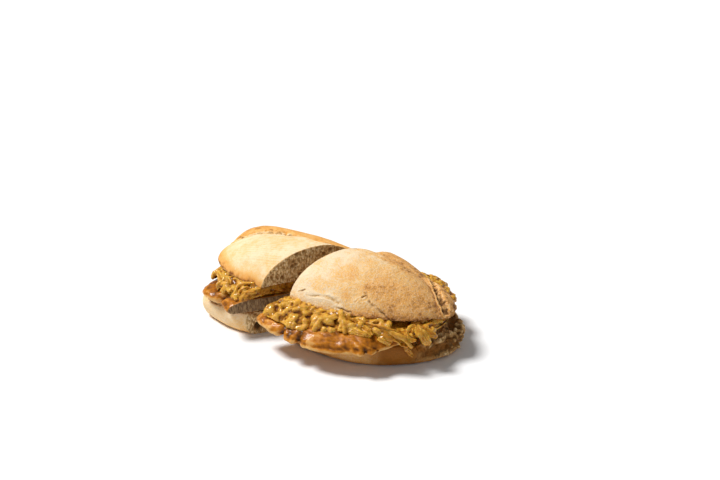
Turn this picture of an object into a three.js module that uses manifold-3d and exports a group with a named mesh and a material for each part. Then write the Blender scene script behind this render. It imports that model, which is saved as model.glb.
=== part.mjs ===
// A pork steak sandwich: a rustic white roll, split and filled with one thin pork steak and a heap of
// stewed onions, then cut slantwise into two halves that lie side by side, their cut faces a little apart.
//
// Millimetres. +X runs along the roll towards its right-hand tip, +Y to the back and +Z up; the halves
// lie on Z = 0 and the origin is the middle of the whole in plan.
import * as THREE from "three";
import { mergeVertices } from "three/addons/utils/BufferGeometryUtils.js";
import Module from "manifold-3d";

const wasm = await Module();
wasm.setup();

// ---------------------------------------------------------------- driving dimensions, in millimetres

const CLEARANCE = 0.4; // air between pieces that lie on each other

const BOTTOM_BREAD = {
  thickness: 17,
  footShare: 0.88, // share of its plan that lies flat
  sharpness: 34, // how sharp its upper edge is, where the roll was split
  roundness: 0.5, // how it rounds over at its edges: 0.5 is an ellipse
  facets: 36, // round the rim
  rings: [0.88, 0.95, 0.985], // shares of its plan at which its surface has a row of corners
};

const TOP_BREAD = {
  fullness: 0.6, // how soon the crust steepens towards its edge: 0.5 is an ellipse
  lipReach: 6, // how close to the edge the crust starts to hang: higher is closer
  facets: 34,
  rings: [0.35, 0.62, 0.82, 0.94, 0.99],
};

const CRACK = {
  steps: 6, // straight stretches of each crack
  above: 3, // how far over the crust its wedge starts
  endShare: 0.25, // share of its width that is left at its ends
};

const STEAK = {
  thickness: 9.4,
  rest: 22.5, // height of its middle where it lies on the bread
  settle: 8, // how close to its rim it leaves that height: higher is closer
  edgeSharpness: 10, // how square its edge is
  ripple: 0.65, // how far its ripples rise and fall
  ripplePitch: [60, 84], // their length along X and Y
  facets: 54,
  rings: [0.45, 0.75, 0.92, 0.98],
};

const ONIONS = {
  bed: 28.3, // height of the heap's underside where it lies on the steak
  bedReach: 9, // how close to the rim its underside leaves that height: higher is closer
  slope: 6, // how steeply its side falls to the rim: higher is steeper
  fullness: 0.6, // how soon its top curves over
  shoulderDrop: 3.5, // how far below the upper bread it is where it comes out from under it
  shoulderShare: [0.5, 0.72], // where in plan it falls from the upper bread to its shoulder
  facets: 40,
  rings: [0.61, 0.72, 0.88, 0.96],
};

// The pieces of onion on the heap's outside: curved bands that lie on it and on each other.
const STRIP = {
  length: [11, 22],
  width: [4.5, 8.5],
  thickness: [2, 3],
  curl: 0.09, // most it may turn, in radians per millimetre
  twist: 0.05, // most it may roll, in radians per millimetre
  lift: 1, // most it may stand off the heap
  hang: 3, // most it may hang below the heap's rim
  pitch: 16, // along the rim, from one to the next of a row
  rows: [0, 6], // how far in from the rim each row starts
  scatter: [0.8, 1], // how far a strip may be off its place: in pitches along, in millimetres inward
  taper: [0.65, 1, 0.65], // share of its width at each section
};

// The larger pieces of onion that stand out, by half. along is the share of the way round the heap's rim
// from its right-hand end, inward the distance in from the rim, hang how far below it a piece may reach.
const LARGER_LIFT = 2; // how far they stand off the heap
const LEFT_PIECES = [
  { along: 0.71, inward: 6, heading: -110, curl: -3, length: 22, width: 5, thickness: 2.6, hang: 3 },
  { along: 0.66, inward: 7, heading: -60, curl: 3, length: 14, width: 5, thickness: 2.6, hang: 2 },
];
const RIGHT_PIECES = [
  { along: 0.857, inward: 8, heading: -60, curl: -1, twist: 3, length: 27, width: 9, thickness: 2.2, hang: 12 },
  { along: 0.82, inward: 6, heading: -20, length: 20, width: 7, thickness: 3, hang: 3 },
  { along: 0.91, inward: 8, heading: -80, curl: 2, length: 15, width: 8, thickness: 2.6, hang: 4 },
];

// Each half is drawn as if it were still joined to the other, then cut. A cut is the knife's upright
// plane: a point of it and its angle to X in degrees. A piece's rim, the widest line round it, is an oval
// about its centre, turned by some degrees: on each side it has a reach and a height, and square is how
// square its left and right ends are, 2 being an ellipse. Bulges are added to it: the angle at which each
// sits, half its spread in degrees, and how far it stands out, negative for a notch. An upper bread is
// swellings joined over the plane that the roll was split on, which falls to tipHeight over some stretch
// of X. Cracks in its crust are wedges, path being their line in plan; hollows are torn out of the crumb
// below, each a centre and three radii.
const LEFT_CUT = [-37.5, -65, 51];
const LEFT = {
  side: -1,
  seed: 11,
  onionPieces: LEFT_PIECES,
  bottomBread: {
    cut: LEFT_CUT,
    centre: [-30, -32],
    turn: 9,
    rim: { left: [65, 11], right: [66, 11], front: [40, 9], back: [39, 11] },
    square: [3, 2.7],
    bulges: [[205, 12, 3]],
    hollows: [{ at: [-39.5, -67.5, 7.5], radii: [3, 3.5, 5.5] }],
  },
  steak: {
    cut: LEFT_CUT,
    centre: [-30, -38],
    turn: 8,
    rim: { left: [58, 23], right: [56, 22], front: [42, 21], back: [41, 22] },
    square: [2.9, 3.4],
    bulges: [[206, 13, 5], [229, 7, -5], [252, 8, 3], [172, 14, -4], [140, 14, -3]],
  },
  onions: {
    cut: [-39, -67, 51],
    centre: [-30, -35],
    turn: 13,
    rim: { left: [56, 29], right: [53, 28], front: [34, 26], back: [38, 28] },
    square: [2.5, 3.2],
    bulges: [],
  },
  topBread: {
    cut: LEFT_CUT,
    cracks: [],
    plane: { height: 36, tipHeight: 36, fall: [-80, -40] },
    swellings: [
      {
        centre: [-12, -31],
        turn: 3.6,
        height: 24.5,
        rim: { left: [79, 37], right: [44, 36], front: [34, 34.5], back: [23.5, 36] },
        square: [2.4, 3],
        bulges: [],
      },
      {
        centre: [-58, -12],
        turn: 9,
        height: 17,
        rim: { left: [36, 37], right: [74, 36], front: [24.5, 36], back: [16.5, 36] },
        square: [4, 1.8],
        bulges: [],
      },
    ],
  },
};

const RIGHT_CUT = [-15.5, -66.5, 60];
const RIGHT = {
  side: 1,
  seed: 29,
  onionPieces: RIGHT_PIECES,
  bottomBread: {
    cut: RIGHT_CUT,
    centre: [30, -30],
    turn: 13,
    rim: { left: [70, 10], right: [63.5, 12], front: [42, 7.5], back: [48, 11] },
    square: [1.9, 1.75],
    bulges: [],
    hollows: [
      { at: [85, -41, 15], radii: [6, 5, 3] },
      { at: [90, -32, 14], radii: [5, 6, 3] },
      { at: [88, -20, 18], radii: [7, 6, 3.5] },
      { at: [80, -10, 18.5], radii: [8, 5, 3] },
    ],
  },
  steak: {
    cut: [-30.5, -80, 56.5],
    centre: [15, -35],
    turn: 25,
    rim: { left: [71, 21], right: [69, 22], front: [56, 17], back: [56, 22] },
    square: [1.8, 1.8],
    bulges: [[229, 5, -3.5], [241, 4, -3], [285, 7, 3.5], [322, 22, -3.5], [24, 12, 4], [72, 12, -4]],
  },
  onions: {
    cut: [-20, -69, 60],
    centre: [25, -30],
    turn: 23,
    rim: { left: [75, 28], right: [59, 25], front: [44.5, 24.5], back: [37.5, 28] },
    square: [2.7, 3],
    bulges: [[50, 10, 5]],
  },
  topBread: {
    cut: RIGHT_CUT,
    cracks: [
      { path: [[42, -55], [36, -60], [33, -63.5]], width: 2.4, depth: 3 },
      { path: [[39, -55], [43, -57], [49, -57.3], [57.5, -57.5]], width: 3.4, depth: 4.5 },
      { path: [[-2, -66.5], [8, -65.8], [17, -65.5], [26, -65]], width: 2.8, depth: 2.6 },
    ],
    plane: { height: 36, tipHeight: 32, fall: [30, 85] },
    swellings: [
      {
        centre: [8, -31],
        turn: 3,
        height: 25,
        rim: { left: [49, 37.5], right: [74, 30], front: [38, 34], back: [31, 36] },
        square: [2.1, 1.85],
        bulges: [],
      },
      {
        centre: [10, -7],
        turn: -5,
        height: 16.5,
        rim: { left: [40, 36], right: [56, 33], front: [22, 36], back: [22, 35] },
        square: [2, 2],
        bulges: [],
      },
      {
        centre: [64, -18],
        turn: -18,
        height: 9.5,
        rim: { left: [36, 34], right: [25, 29], front: [21, 30.5], back: [18, 32] },
        square: [3.5, 1.7],
        bulges: [],
      },
    ],
  },
};

// The middle of the whole in plan, which becomes the origin.
const MIDDLE = [-1.7, -35.4];

// ---------------------------------------------------------------- small helpers

const UP = new THREE.Vector3(0, 0, 1);
const FINE_RIM = 180; // points of a rim where it is measured rather than built
const radians = THREE.MathUtils.degToRad;
const smooth = THREE.MathUtils.smoothstep;

// The rim of a piece as points in space, equally spaced in its oval's angle.
function rimPoints({ centre, turn, rim, square, bulges }, count) {
  const points = [];
  for (let j = 0; j < count; j++) {
    const angle = (2 * Math.PI * j) / count;
    const c = Math.cos(angle);
    const s = Math.sin(angle);
    const along = c < 0 ? rim.left : rim.right;
    const across = s < 0 ? rim.front : rim.back;
    const power = 2 / square[c < 0 ? 0 : 1];
    const x = Math.sign(c) * along[0] * Math.abs(c) ** power;
    const y = Math.sign(s) * across[0] * Math.abs(s) ** power;
    const out = bulges.reduce((sum, bulge) => sum + bulgeAt(bulge, angle), 0) / Math.hypot(x, y);
    const point = new THREE.Vector3(x, y, 0).multiplyScalar(1 + out);
    point.applyAxisAngle(UP, radians(turn)).add(new THREE.Vector3(...centre, 0));
    point.z = along[1] * c * c + across[1] * s * s;
    points.push(point);
  }
  return points;
}

// How far a bulge stands out at an angle.
function bulgeAt([middle, spread, height], angle) {
  const turns = (angle - radians(middle)) / (2 * Math.PI);
  const away = 360 * (turns - Math.round(turns));
  return height * Math.exp(-((away / spread) ** 2));
}

// A closed solid between two surfaces that meet at its rim. over and under give a surface's height at
// [x, y], whose share of the way from the centre to the rim is s, where the rim's height is edge.
function closedShell({ piece, over, under, facets, rings, grow = 0 }) {
  const [centreX, centreY] = piece.centre;
  const edge = rimPoints(piece, facets);
  const position = [];
  const index = [];
  const place = (s, j, height) => {
    const dx = edge[j].x - centreX;
    const dy = edge[j].y - centreY;
    const out = s * (1 + grow / Math.hypot(dx, dy));
    const x = centreX + out * dx;
    const y = centreY + out * dy;
    position.push(x, y, height(x, y, s, edge[j].z));
  };
  const rows = [
    ...rings.map((s) => [s, over]),
    [1, over],
    ...[...rings].reverse().map((s) => [s, under]),
  ];
  place(0, 0, over);
  for (const [s, height] of rows) {
    for (let j = 0; j < facets; j++) place(s, j, height);
  }
  place(0, 0, under);
  const last = 1 + rows.length * facets;
  const at = (row, j) => 1 + row * facets + (j % facets);
  for (let j = 0; j < facets; j++) {
    index.push(0, at(0, j), at(0, j + 1));
    for (let row = 0; row + 1 < rows.length; row++) {
      index.push(at(row, j), at(row + 1, j), at(row + 1, j + 1));
      index.push(at(row, j), at(row + 1, j + 1), at(row, j + 1));
    }
    index.push(last, at(rows.length - 1, j + 1), at(rows.length - 1, j));
  }
  const geometry = new THREE.BufferGeometry();
  geometry.setAttribute("position", new THREE.Float32BufferAttribute(position, 3));
  geometry.setIndex(index);
  return solidOf(geometry);
}

// A closed geometry as a solid that can be joined and cut.
function solidOf(geometry) {
  const bare = new THREE.BufferGeometry();
  bare.setAttribute("position", geometry.getAttribute("position"));
  if (geometry.index) bare.setIndex(geometry.index);
  const merged = mergeVertices(bare, 1e-4);
  return new wasm.Manifold(
    new wasm.Mesh({
      numProp: 3,
      vertProperties: merged.attributes.position.array,
      triVerts: new Uint32Array(merged.index.array),
    }),
  );
}

// The largest single body of a solid: crumbs that a cut leaves behind are dropped.
function largestBody(solid) {
  const bodies = solid.decompose();
  return bodies.reduce((best, body) => (body.volume() > best.volume() ? body : best));
}

// A solid as a shaded geometry.
function geometryOf(solid) {
  const mesh = largestBody(solid).getMesh();
  const geometry = new THREE.BufferGeometry();
  geometry.setAttribute("position", new THREE.BufferAttribute(mesh.vertProperties, 3));
  geometry.setIndex(new THREE.BufferAttribute(mesh.triVerts, 1));
  geometry.computeVertexNormals();
  return geometry;
}

// ---------------------------------------------------------------- surfaces of the sandwich

function bottomBread(piece, grow = 0) {
  const { thickness, footShare, sharpness, roundness, facets, rings } = BOTTOM_BREAD;
  const rounded = (share) => (1 - share) ** roundness;
  return closedShell({
    piece,
    grow,
    over: (x, y, s, edge) => edge + (thickness - edge) * rounded(s ** sharpness) + grow * (s < 1),
    under: (x, y, s, edge) => {
      const out = Math.max(0, (s - footShare) / (1 - footShare));
      return edge * (1 - rounded(out * out)) - grow * (s < 1);
    },
    facets,
    rings,
  });
}

// Height of the plane that the roll was split on.
function planeHeight({ height, tipHeight, fall }, x) {
  return height + (tipHeight - height) * smooth(x, ...fall);
}

function topBread({ plane, swellings }, grow = 0) {
  const { fullness, facets, rings } = TOP_BREAD;
  const base = (x, s, edge) => {
    const flat = planeHeight(plane, x);
    return flat + (edge - flat) * s ** TOP_BREAD.lipReach;
  };
  return swellings
    .map((piece) =>
      closedShell({
        piece,
        grow,
        over: (x, y, s, edge) => base(x, s, edge) + piece.height * (1 - s * s) ** fullness,
        under: (x, y, s, edge) => base(x, s, edge) - grow * (s < 1),
        facets,
        rings,
      }),
    )
    .reduce((joined, solid) => joined.add(solid));
}

// The share of the way to a piece's rim at which a place in plan lies.
function shareAt(piece, x, y) {
  const centre = new THREE.Vector2(...piece.centre);
  const place = new THREE.Vector2(x, y).sub(centre);
  const rim = rimPoints(piece, FINE_RIM).map((point) => new THREE.Vector2(point.x, point.y).sub(centre));
  const aim = (point) => point.dot(place) / point.length();
  const ahead = rim.reduce((best, point) => (aim(point) > aim(best) ? point : best));
  return place.length() / ahead.length();
}

// Height of the crust at a place in plan.
function crustHeight({ plane, swellings }, x, y) {
  const heights = swellings.map((piece) => {
    const s = Math.min(1, shareAt(piece, x, y));
    return planeHeight(plane, x) + piece.height * (1 - s * s) ** TOP_BREAD.fullness;
  });
  return Math.max(...heights);
}

// A crack: a wedge that is narrow at both ends and opens upwards through the crust.
function crackWedge(bread, { path, width, depth }) {
  const line = new THREE.CatmullRomCurve3(path.map(([x, y]) => new THREE.Vector3(x, y, 0)));
  const steps = CRACK.steps;
  const position = [];
  for (let k = 0; k <= steps; k++) {
    const point = line.getPoint(k / steps);
    const forward = line.getTangent(k / steps);
    const across = new THREE.Vector3(-forward.y, forward.x, 0);
    const bow = Math.sin((Math.PI * (k + 0.5)) / (steps + 1));
    const open = width * (CRACK.endShare + (1 - CRACK.endShare) * bow);
    const height = crustHeight(bread, point.x, point.y);
    const flare = (CRACK.above + depth) / depth;
    const left = point.clone().addScaledVector(across, (open / 2) * flare);
    const right = point.clone().addScaledVector(across, (-open / 2) * flare);
    position.push(right.x, right.y, height + CRACK.above);
    position.push(left.x, left.y, height + CRACK.above);
    position.push(point.x, point.y, height - depth);
  }
  return loft(position, 3, steps + 1);
}

// A solid through sections of equal corner counts, closed at both ends. Corners run anticlockwise as seen
// from the first section towards the last.
function loft(position, corners, sections) {
  const index = [];
  const last = corners * (sections - 1);
  for (let j = 1; j + 1 < corners; j++) {
    index.push(0, j, j + 1, last, last + j + 1, last + j);
  }
  for (let k = 0; k + 1 < sections; k++) {
    for (let j = 0; j < corners; j++) {
      const a = corners * k + j;
      const b = corners * k + ((j + 1) % corners);
      index.push(a, a + corners, b + corners, a, b + corners, b);
    }
  }
  const geometry = new THREE.BufferGeometry();
  geometry.setAttribute("position", new THREE.Float32BufferAttribute(position, 3));
  geometry.setIndex(index);
  return solidOf(geometry);
}

// A hollow: a roundish body to be taken out of the crumb.
function hollowBody({ at, radii }) {
  const body = new THREE.IcosahedronGeometry(1, 1);
  body.scale(...radii);
  body.translate(...at);
  return solidOf(body);
}

function steak(piece, grow = 0) {
  const { thickness, rest, settle, edgeSharpness, ripple, ripplePitch, facets, rings } = STEAK;
  const middle = (x, y, s, edge) => {
    const turnX = (2 * Math.PI * x) / ripplePitch[0];
    const turnY = (2 * Math.PI * y) / ripplePitch[1];
    const level = rest + ripple * Math.sin(turnX) * Math.cos(turnY);
    return level + (edge - level) * s ** settle;
  };
  const half = (s) => (thickness / 2) * Math.sqrt(1 - s ** edgeSharpness) + grow * (s < 1);
  return closedShell({
    piece,
    grow,
    over: (x, y, s, edge) => middle(x, y, s, edge) + half(s),
    under: (x, y, s, edge) => middle(x, y, s, edge) - half(s),
    facets,
    rings,
  });
}

// Height of the heap's top at x, at a share s of the way to its rim.
function heapHeight(plane, x, s, edge) {
  const { slope, fullness, shoulderDrop, shoulderShare } = ONIONS;
  const crown = planeHeight(plane, x) - CLEARANCE;
  const side = edge + (crown - shoulderDrop - edge) * (1 - s ** slope) ** fullness;
  return side + shoulderDrop * (1 - smooth(s, ...shoulderShare));
}

function onionCore(piece, plane) {
  const { bed, bedReach, facets, rings } = ONIONS;
  return closedShell({
    piece,
    over: (x, y, s, edge) => heapHeight(plane, x, s, edge),
    under: (x, y, s, edge) => bed + (edge - bed) * s ** bedReach,
    facets,
    rings,
  });
}

// A place on the heap's outside: along is the share of the way round its rim, inward the distance in from
// the rim, or down the heap's side where it is negative.
function heapPoint({ piece, plane, rimCurve }, along, inward) {
  const rim = rimCurve.getPointAt(along - Math.floor(along));
  const centre = new THREE.Vector3(...piece.centre, rim.z);
  const s = Math.min(1, 1 - inward / rim.distanceTo(centre));
  const point = centre.lerp(rim, s);
  point.z = heapHeight(plane, point.x, s, rim.z) + Math.min(0, inward);
  return point;
}

const STRIP_CORNERS = [[-1, -1], [1, -1], [1, 1], [-1, 1]];

// One strip of onion: a curved, slightly twisted band of four sides that lies on the heap.
function onionStrip(heap, strip) {
  const rimLength = heap.rimCurve.getLength();
  const sections = STRIP.taper.length;
  const step = strip.length / (sections - 1);
  const spots = [];
  for (let k = -1; k <= sections; k++) {
    const heading = strip.heading + strip.curl * step * k;
    const inward = Math.max(-strip.hang, strip.inward + step * k * Math.sin(heading));
    const along = strip.along + (step * k * Math.cos(heading)) / rimLength;
    const point = heapPoint(heap, along, inward);
    const sideways = heapPoint(heap, along + 1 / rimLength, inward).sub(point);
    const upwards = heapPoint(heap, along, inward + 1).sub(point);
    spots.push({ point, normal: sideways.cross(upwards).normalize() });
  }
  const position = [];
  for (let k = 1; k <= sections; k++) {
    const forward = spots[k + 1].point.clone().sub(spots[k - 1].point).normalize();
    const across = forward.clone().cross(spots[k].normal).normalize();
    const up = across.clone().cross(forward);
    const roll = strip.twist * step * (k - (sections + 1) / 2);
    across.applyAxisAngle(forward, roll).multiplyScalar((strip.width / 2) * STRIP.taper[k - 1]);
    up.applyAxisAngle(forward, roll).multiplyScalar(strip.thickness / 2);
    const middle = spots[k].point.clone().addScaledVector(spots[k].normal, strip.lift);
    for (const [a, b] of STRIP_CORNERS) {
      const corner = middle.clone().addScaledVector(across, a).addScaledVector(up, b);
      position.push(...corner.toArray());
    }
  }
  return loft(position, STRIP_CORNERS.length, sections);
}

// Repeatable random numbers from 0 to 1.
function randomNumbers(seed) {
  let state = seed;
  return () => {
    state = (state * 16807) % 2147483647;
    return state / 2147483647;
  };
}

// The heap with its strips: rows of them lie round the rim, and its larger pieces over them.
function onionHeap(piece, plane, seed, largerPieces) {
  const rimCurve = new THREE.CatmullRomCurve3(rimPoints(piece, FINE_RIM), true);
  const heap = { piece, plane, rimCurve };
  const random = randomNumbers(seed);
  const within = ([low, high]) => low + (high - low) * random();
  const count = Math.round(rimCurve.getLength() / STRIP.pitch);
  let solid = onionCore(piece, plane);
  for (const inward of STRIP.rows) {
    for (let k = 0; k < count; k++) {
      const strip = onionStrip(heap, {
        along: (k + STRIP.scatter[0] * random()) / count,
        inward: inward + STRIP.scatter[1] * (2 * random() - 1),
        heading: (random() - 0.5) * Math.PI,
        curl: (2 * random() - 1) * STRIP.curl,
        twist: (2 * random() - 1) * STRIP.twist,
        length: within(STRIP.length),
        width: within(STRIP.width),
        thickness: within(STRIP.thickness),
        lift: random() * STRIP.lift,
        hang: STRIP.hang,
      });
      solid = solid.add(strip);
    }
  }
  for (const { heading, curl = 0, twist = 0, ...size } of largerPieces) {
    const turns = { heading: radians(heading), curl: radians(curl), twist: radians(twist) };
    solid = solid.add(onionStrip(heap, { ...size, ...turns, lift: LARGER_LIFT }));
  }
  return solid;
}

// ---------------------------------------------------------------- cutting and laying the halves

const KNIFE_REACH = 400;

// Everything on one side of a cut: side -1 is to its left.
function sideBlock([x, y, angle], side) {
  const block = new THREE.BoxGeometry(KNIFE_REACH, KNIFE_REACH, KNIFE_REACH);
  block.translate(KNIFE_REACH / 2, 0, 0);
  block.rotateZ(radians(side > 0 ? angle - 90 : angle + 90));
  block.translate(x, y, 0);
  block.deleteAttribute("normal");
  block.deleteAttribute("uv");
  return solidOf(block);
}

const COLOURS = {
  top_bread: 0xe9cf9f,
  onions: 0xc08a35,
  steak: 0xb5763f,
  bottom_bread: 0xd9c59c,
};

// The four pieces of one half, from the bottom up.
function halfPieces({ side, ...shapes }) {
  const cut = (solid, shape) => solid.intersect(sideBlock(shape.cut, side));
  const breadBelow = bottomBread(shapes.bottomBread, CLEARANCE);
  const meat = steak(shapes.steak).subtract(breadBelow);
  const heap = onionHeap(shapes.onions, shapes.topBread.plane, shapes.seed, shapes.onionPieces)
    .subtract(cut(steak(shapes.steak, CLEARANCE), shapes.steak))
    .subtract(topBread(shapes.topBread, CLEARANCE))
    .subtract(breadBelow);
  let below = cut(bottomBread(shapes.bottomBread), shapes.bottomBread);
  for (const hollow of shapes.bottomBread.hollows) below = below.subtract(hollowBody(hollow));
  let above = cut(topBread(shapes.topBread), shapes.topBread);
  for (const crack of shapes.topBread.cracks) above = above.subtract(crackWedge(shapes.topBread, crack));
  return {
    bottom_bread: below,
    steak: cut(meat, shapes.steak),
    onions: cut(heap, shapes.onions),
    top_bread: above,
  };
}

const sandwich = new THREE.Group();
sandwich.name = "pork_steak_sandwich";
for (const [name, shapes] of [
  ["left", LEFT],
  ["right", RIGHT],
]) {
  for (const [piece, solid] of Object.entries(halfPieces(shapes))) {
    const material = new THREE.MeshStandardMaterial({
      color: COLOURS[piece],
      roughness: piece.includes("bread") ? 0.9 : 0.35,
      metalness: 0,
    });
    const mesh = new THREE.Mesh(geometryOf(solid), material);
    mesh.name = `${name}_${piece}`;
    sandwich.add(mesh);
  }
}
sandwich.position.set(-MIDDLE[0], -MIDDLE[1], 0);

export default sandwich;
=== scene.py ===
"""A pork steak sandwich: a rustic white roll, a thin browned pork steak and stewed onions, cut in half.

Shapes are worked out in millimetres and turned to metres when a mesh is made. +X runs along the roll
towards its right-hand tip, +Y to the back and +Z up.
"""

import itertools
import math

import bmesh
import bpy
import numpy as np
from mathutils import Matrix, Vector
from mathutils.kdtree import KDTree


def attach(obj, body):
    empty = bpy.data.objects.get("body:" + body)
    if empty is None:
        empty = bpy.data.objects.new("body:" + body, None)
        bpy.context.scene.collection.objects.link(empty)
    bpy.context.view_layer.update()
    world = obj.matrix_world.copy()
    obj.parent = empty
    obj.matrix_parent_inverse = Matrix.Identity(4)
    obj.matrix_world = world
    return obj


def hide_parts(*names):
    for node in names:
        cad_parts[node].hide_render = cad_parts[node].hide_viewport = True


bl_info = {
    "name": "Pork steak sandwich",
    "version": (1, 0, 0),
    "blender": (4, 5, 0),
    "location": "3D View > Sidebar > Sandwich",
    "description": "Builds a halved pork steak sandwich with stewed onions",
    "category": "Add Mesh",
}

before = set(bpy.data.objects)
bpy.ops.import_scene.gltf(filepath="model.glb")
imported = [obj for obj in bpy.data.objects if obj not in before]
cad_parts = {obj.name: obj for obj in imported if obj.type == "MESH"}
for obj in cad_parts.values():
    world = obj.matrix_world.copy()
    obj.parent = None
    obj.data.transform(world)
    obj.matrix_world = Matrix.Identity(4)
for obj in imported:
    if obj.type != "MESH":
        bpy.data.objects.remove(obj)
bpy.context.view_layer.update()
MM = 0.001

# ---------------------------------------------------------------- forms, in millimetres

# The middle of both halves together. It comes to stand over the frame's origin.
MIDDLE = (-1.7, -35.4)

# The surfaces of each kind of piece. edge_rings is how finely its shell turns down at the rim.
BOTTOM_BREAD = {"edge_rings": 12, "thickness": 17, "foot_share": 0.88, "sharpness": 34, "roundness": 0.5}
TOP_BREAD = {"edge_rings": 9, "fullness": 0.6, "lip_reach": 6}
STEAK = {
    "edge_rings": 10,
    "thickness": 9.4,
    "rest": 22.5,
    "settle": 8,
    "edge_sharpness": 10,
    "ripple": 0.65,
    "pitch": (60, 84),
}
ONIONS = {
    "edge_rings": 9,
    "bed": 28.3,
    "bed_reach": 9,
    "slope": 6,
    "fullness": 0.6,
    "shoulder_drop": 3.5,
    "shoulder": (0.5, 0.72),
    "clearance": 0.4,
}
# Each piece has random numbers of its own, and those of the right half are one step further.
SEEDS = {"top_bread": 100, "bottom_bread": 300, "steak": 500, "onions": 700}
SEED_STEP = 100


def oval(centre, turn, left, right, front, back, square, bulges=(), **more):
    """A rim: reach and height on each side, how square its ends are, and bulges (angle, spread, height)."""
    rim = {"left": left, "right": right, "front": front, "back": back}
    return {"centre": centre, "turn": turn, "rim": rim, "square": square, "bulges": bulges, **more}


# Where the knife went through the bread of each half: a place on its plane and the plane's angle.
LEFT_CUT = (-37.5, -65, 51)
RIGHT_CUT = (-15.5, -66.5, 60)

# Each half's pieces. The upper bread is made of swellings over a plane: its height, its height at the
# tip and where it falls from one to the other.
LEFT = {
    "name": "left",
    "side": -1,
    "bottom_bread": oval(
        (-30, -32), 9, (65, 11), (66, 11), (40, 9), (39, 11), (3, 2.7), [(205, 12, 3)], cut=LEFT_CUT,
    ),
    "steak": oval(
        (-30, -38), 8, (58, 23), (56, 22), (42, 21), (41, 22), (2.9, 3.4),
        [(206, 13, 5), (229, 7, -5), (252, 8, 3), (172, 14, -4), (140, 14, -3)], cut=LEFT_CUT,
    ),
    "onions": oval(
        (-30, -35), 13, (56, 29), (53, 28), (34, 26), (38, 28), (2.5, 3.2), cut=(-39, -67, 51),
    ),
    "top_bread": {
        "cut": LEFT_CUT,
        "plane": (36, 36, (-80, -40)),
        "swellings": [
            oval((-12, -31), 3.6, (79, 37), (44, 36), (34, 34.5), (23.5, 36), (2.4, 3), height=24.5),
            oval((-58, -12), 9, (36, 37), (74, 36), (24.5, 36), (16.5, 36), (4, 1.8), height=17),
        ],
    },
}
RIGHT = {
    "name": "right",
    "side": 1,
    "bottom_bread": oval(
        (30, -30), 13, (70, 10), (63.5, 12), (42, 7.5), (48, 11), (1.9, 1.75), cut=RIGHT_CUT,
    ),
    "steak": oval(
        (15, -35), 25, (71, 21), (69, 22), (56, 17), (56, 22), (1.8, 1.8),
        [(229, 5, -3.5), (241, 4, -3), (285, 7, 3.5), (322, 22, -3.5), (24, 12, 4), (72, 12, -4)],
        cut=(-30.5, -80, 56.5),
    ),
    "onions": oval(
        (25, -30), 23, (75, 28), (59, 25), (44.5, 24.5), (37.5, 28), (2.7, 3), [(50, 10, 5)],
        cut=(-20, -69, 60),
    ),
    "top_bread": {
        "cut": RIGHT_CUT,
        "plane": (36, 32, (30, 85)),
        "swellings": [
            oval((8, -31), 3, (49, 37.5), (74, 30), (38, 34), (31, 36), (2.1, 1.85), height=25),
            oval((10, -7), -5, (40, 36), (56, 33), (22, 36), (22, 35), (2, 2), height=16.5),
            oval((64, -18), -18, (36, 34), (25, 29), (21, 30.5), (18, 32), (3.5, 1.7), height=9.5),
        ],
    },
}
HALVES = (LEFT, RIGHT)

# Cracks in the crust: half the width and the depth of each, and its line.
CRACKS = {
    "left": [],
    "right": [
        (0.6, 1.3, [(33, -63, 40.4), (35.4, -60.2, 43.3), (38.4, -58, 45.1), (40.8, -55.6, 46.7)]),
        (1.5, 2.2, [
            (39.4, -55.8, 47.3), (42.4, -56.9, 44.2), (46, -57.4, 41.4), (51.2, -57.1, 37.8),
            (56.5, -56.1, 33.6),
        ]),
        (0.5, 0.9, [(-7.8, -65.7, 40.7), (-2, -64.7, 43.7)]),
        (1.3, 1.0, [
            (-0.3, -66.6, 41), (7.7, -66.3, 42), (16.2, -65.3, 42.5), (21.2, -65.3, 41.5),
            (25.6, -64.9, 40.2),
        ]),
        (1.0, 1.4, [(22.7, -66.5, 37.7), (27.6, -65.7, 37), (33.1, -64.7, 36.4)]),
    ],
}

# Tears in the crust: the crust ends in a ragged edge along a line, and behind it lies a trough of open
# crumb that is so wide and deep and rises again over its reach.
TEARS = {
    "left": [
        {
            "line": [
                (-92, -30, 39), (-87.6, -28.3, 42.5), (-79.5, -27.8, 47.1), (-72.2, -24.4, 50),
                (-62.8, -20.3, 51.9), (-51.1, -17, 53.5), (-31.4, -22.6, 58.3), (-14.8, -28.2, 60),
                (-5.3, -24.2, 56.3), (4, -20, 50),
            ],
            "deep": 2.4, "wide": 5, "reach": 4, "shade": 0.45, "toast": 0.1,
        },
    ],
    "right": [
        {
            "line": [
                (10, -25.5, 60), (21.3, -25.4, 59.7), (34.6, -25.4, 58.2), (46.3, -23.2, 54.4),
                (52, -17, 51), (54, -8, 45),
            ],
            "deep": 1.4, "wide": 1.5, "reach": 5, "shade": 0.2, "toast": 0.0,
        },
        {
            "line": [
                (57, -2, 41), (61.2, -7.2, 41.2), (67.7, -15.1, 41.9), (72.6, -20.7, 41.2),
                (76.3, -24.7, 39.5), (79.6, -27.2, 37.1), (82.2, -28.4, 34.6), (84, -30.5, 31),
            ],
            "deep": 3.4, "wide": 4.4, "reach": 1.8, "shade": 1.0, "toast": 0.4,
        },
    ],
}

# ---------------------------------------------------------------- numbers


def smoothstep(x, low, high):
    """0 below low, 1 above high and smooth between; low may be the larger."""
    t = np.clip((x - low) / (high - low), 0, 1)
    return t * t * (3 - 2 * t)


def scatter(cell, seed):
    """A repeatable random number from 0 to 1 for each whole-numbered cell."""
    mixed = cell @ np.array([73856093, 19349663, 83492791]) + seed * 2654435761
    mixed = ((mixed ^ (mixed >> 13)) * 1274126177) & 0xFFFFFFFF
    mixed ^= mixed >> 16
    return (mixed & 0xFFFFFF) / 0x1000000


# Each octave of a noise is so much finer than the one before, shifted and with a seed further on, so
# that no two line up.
FINER = 2.03
SHIFT = 17.3
OCTAVE_STEP = 31


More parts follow.
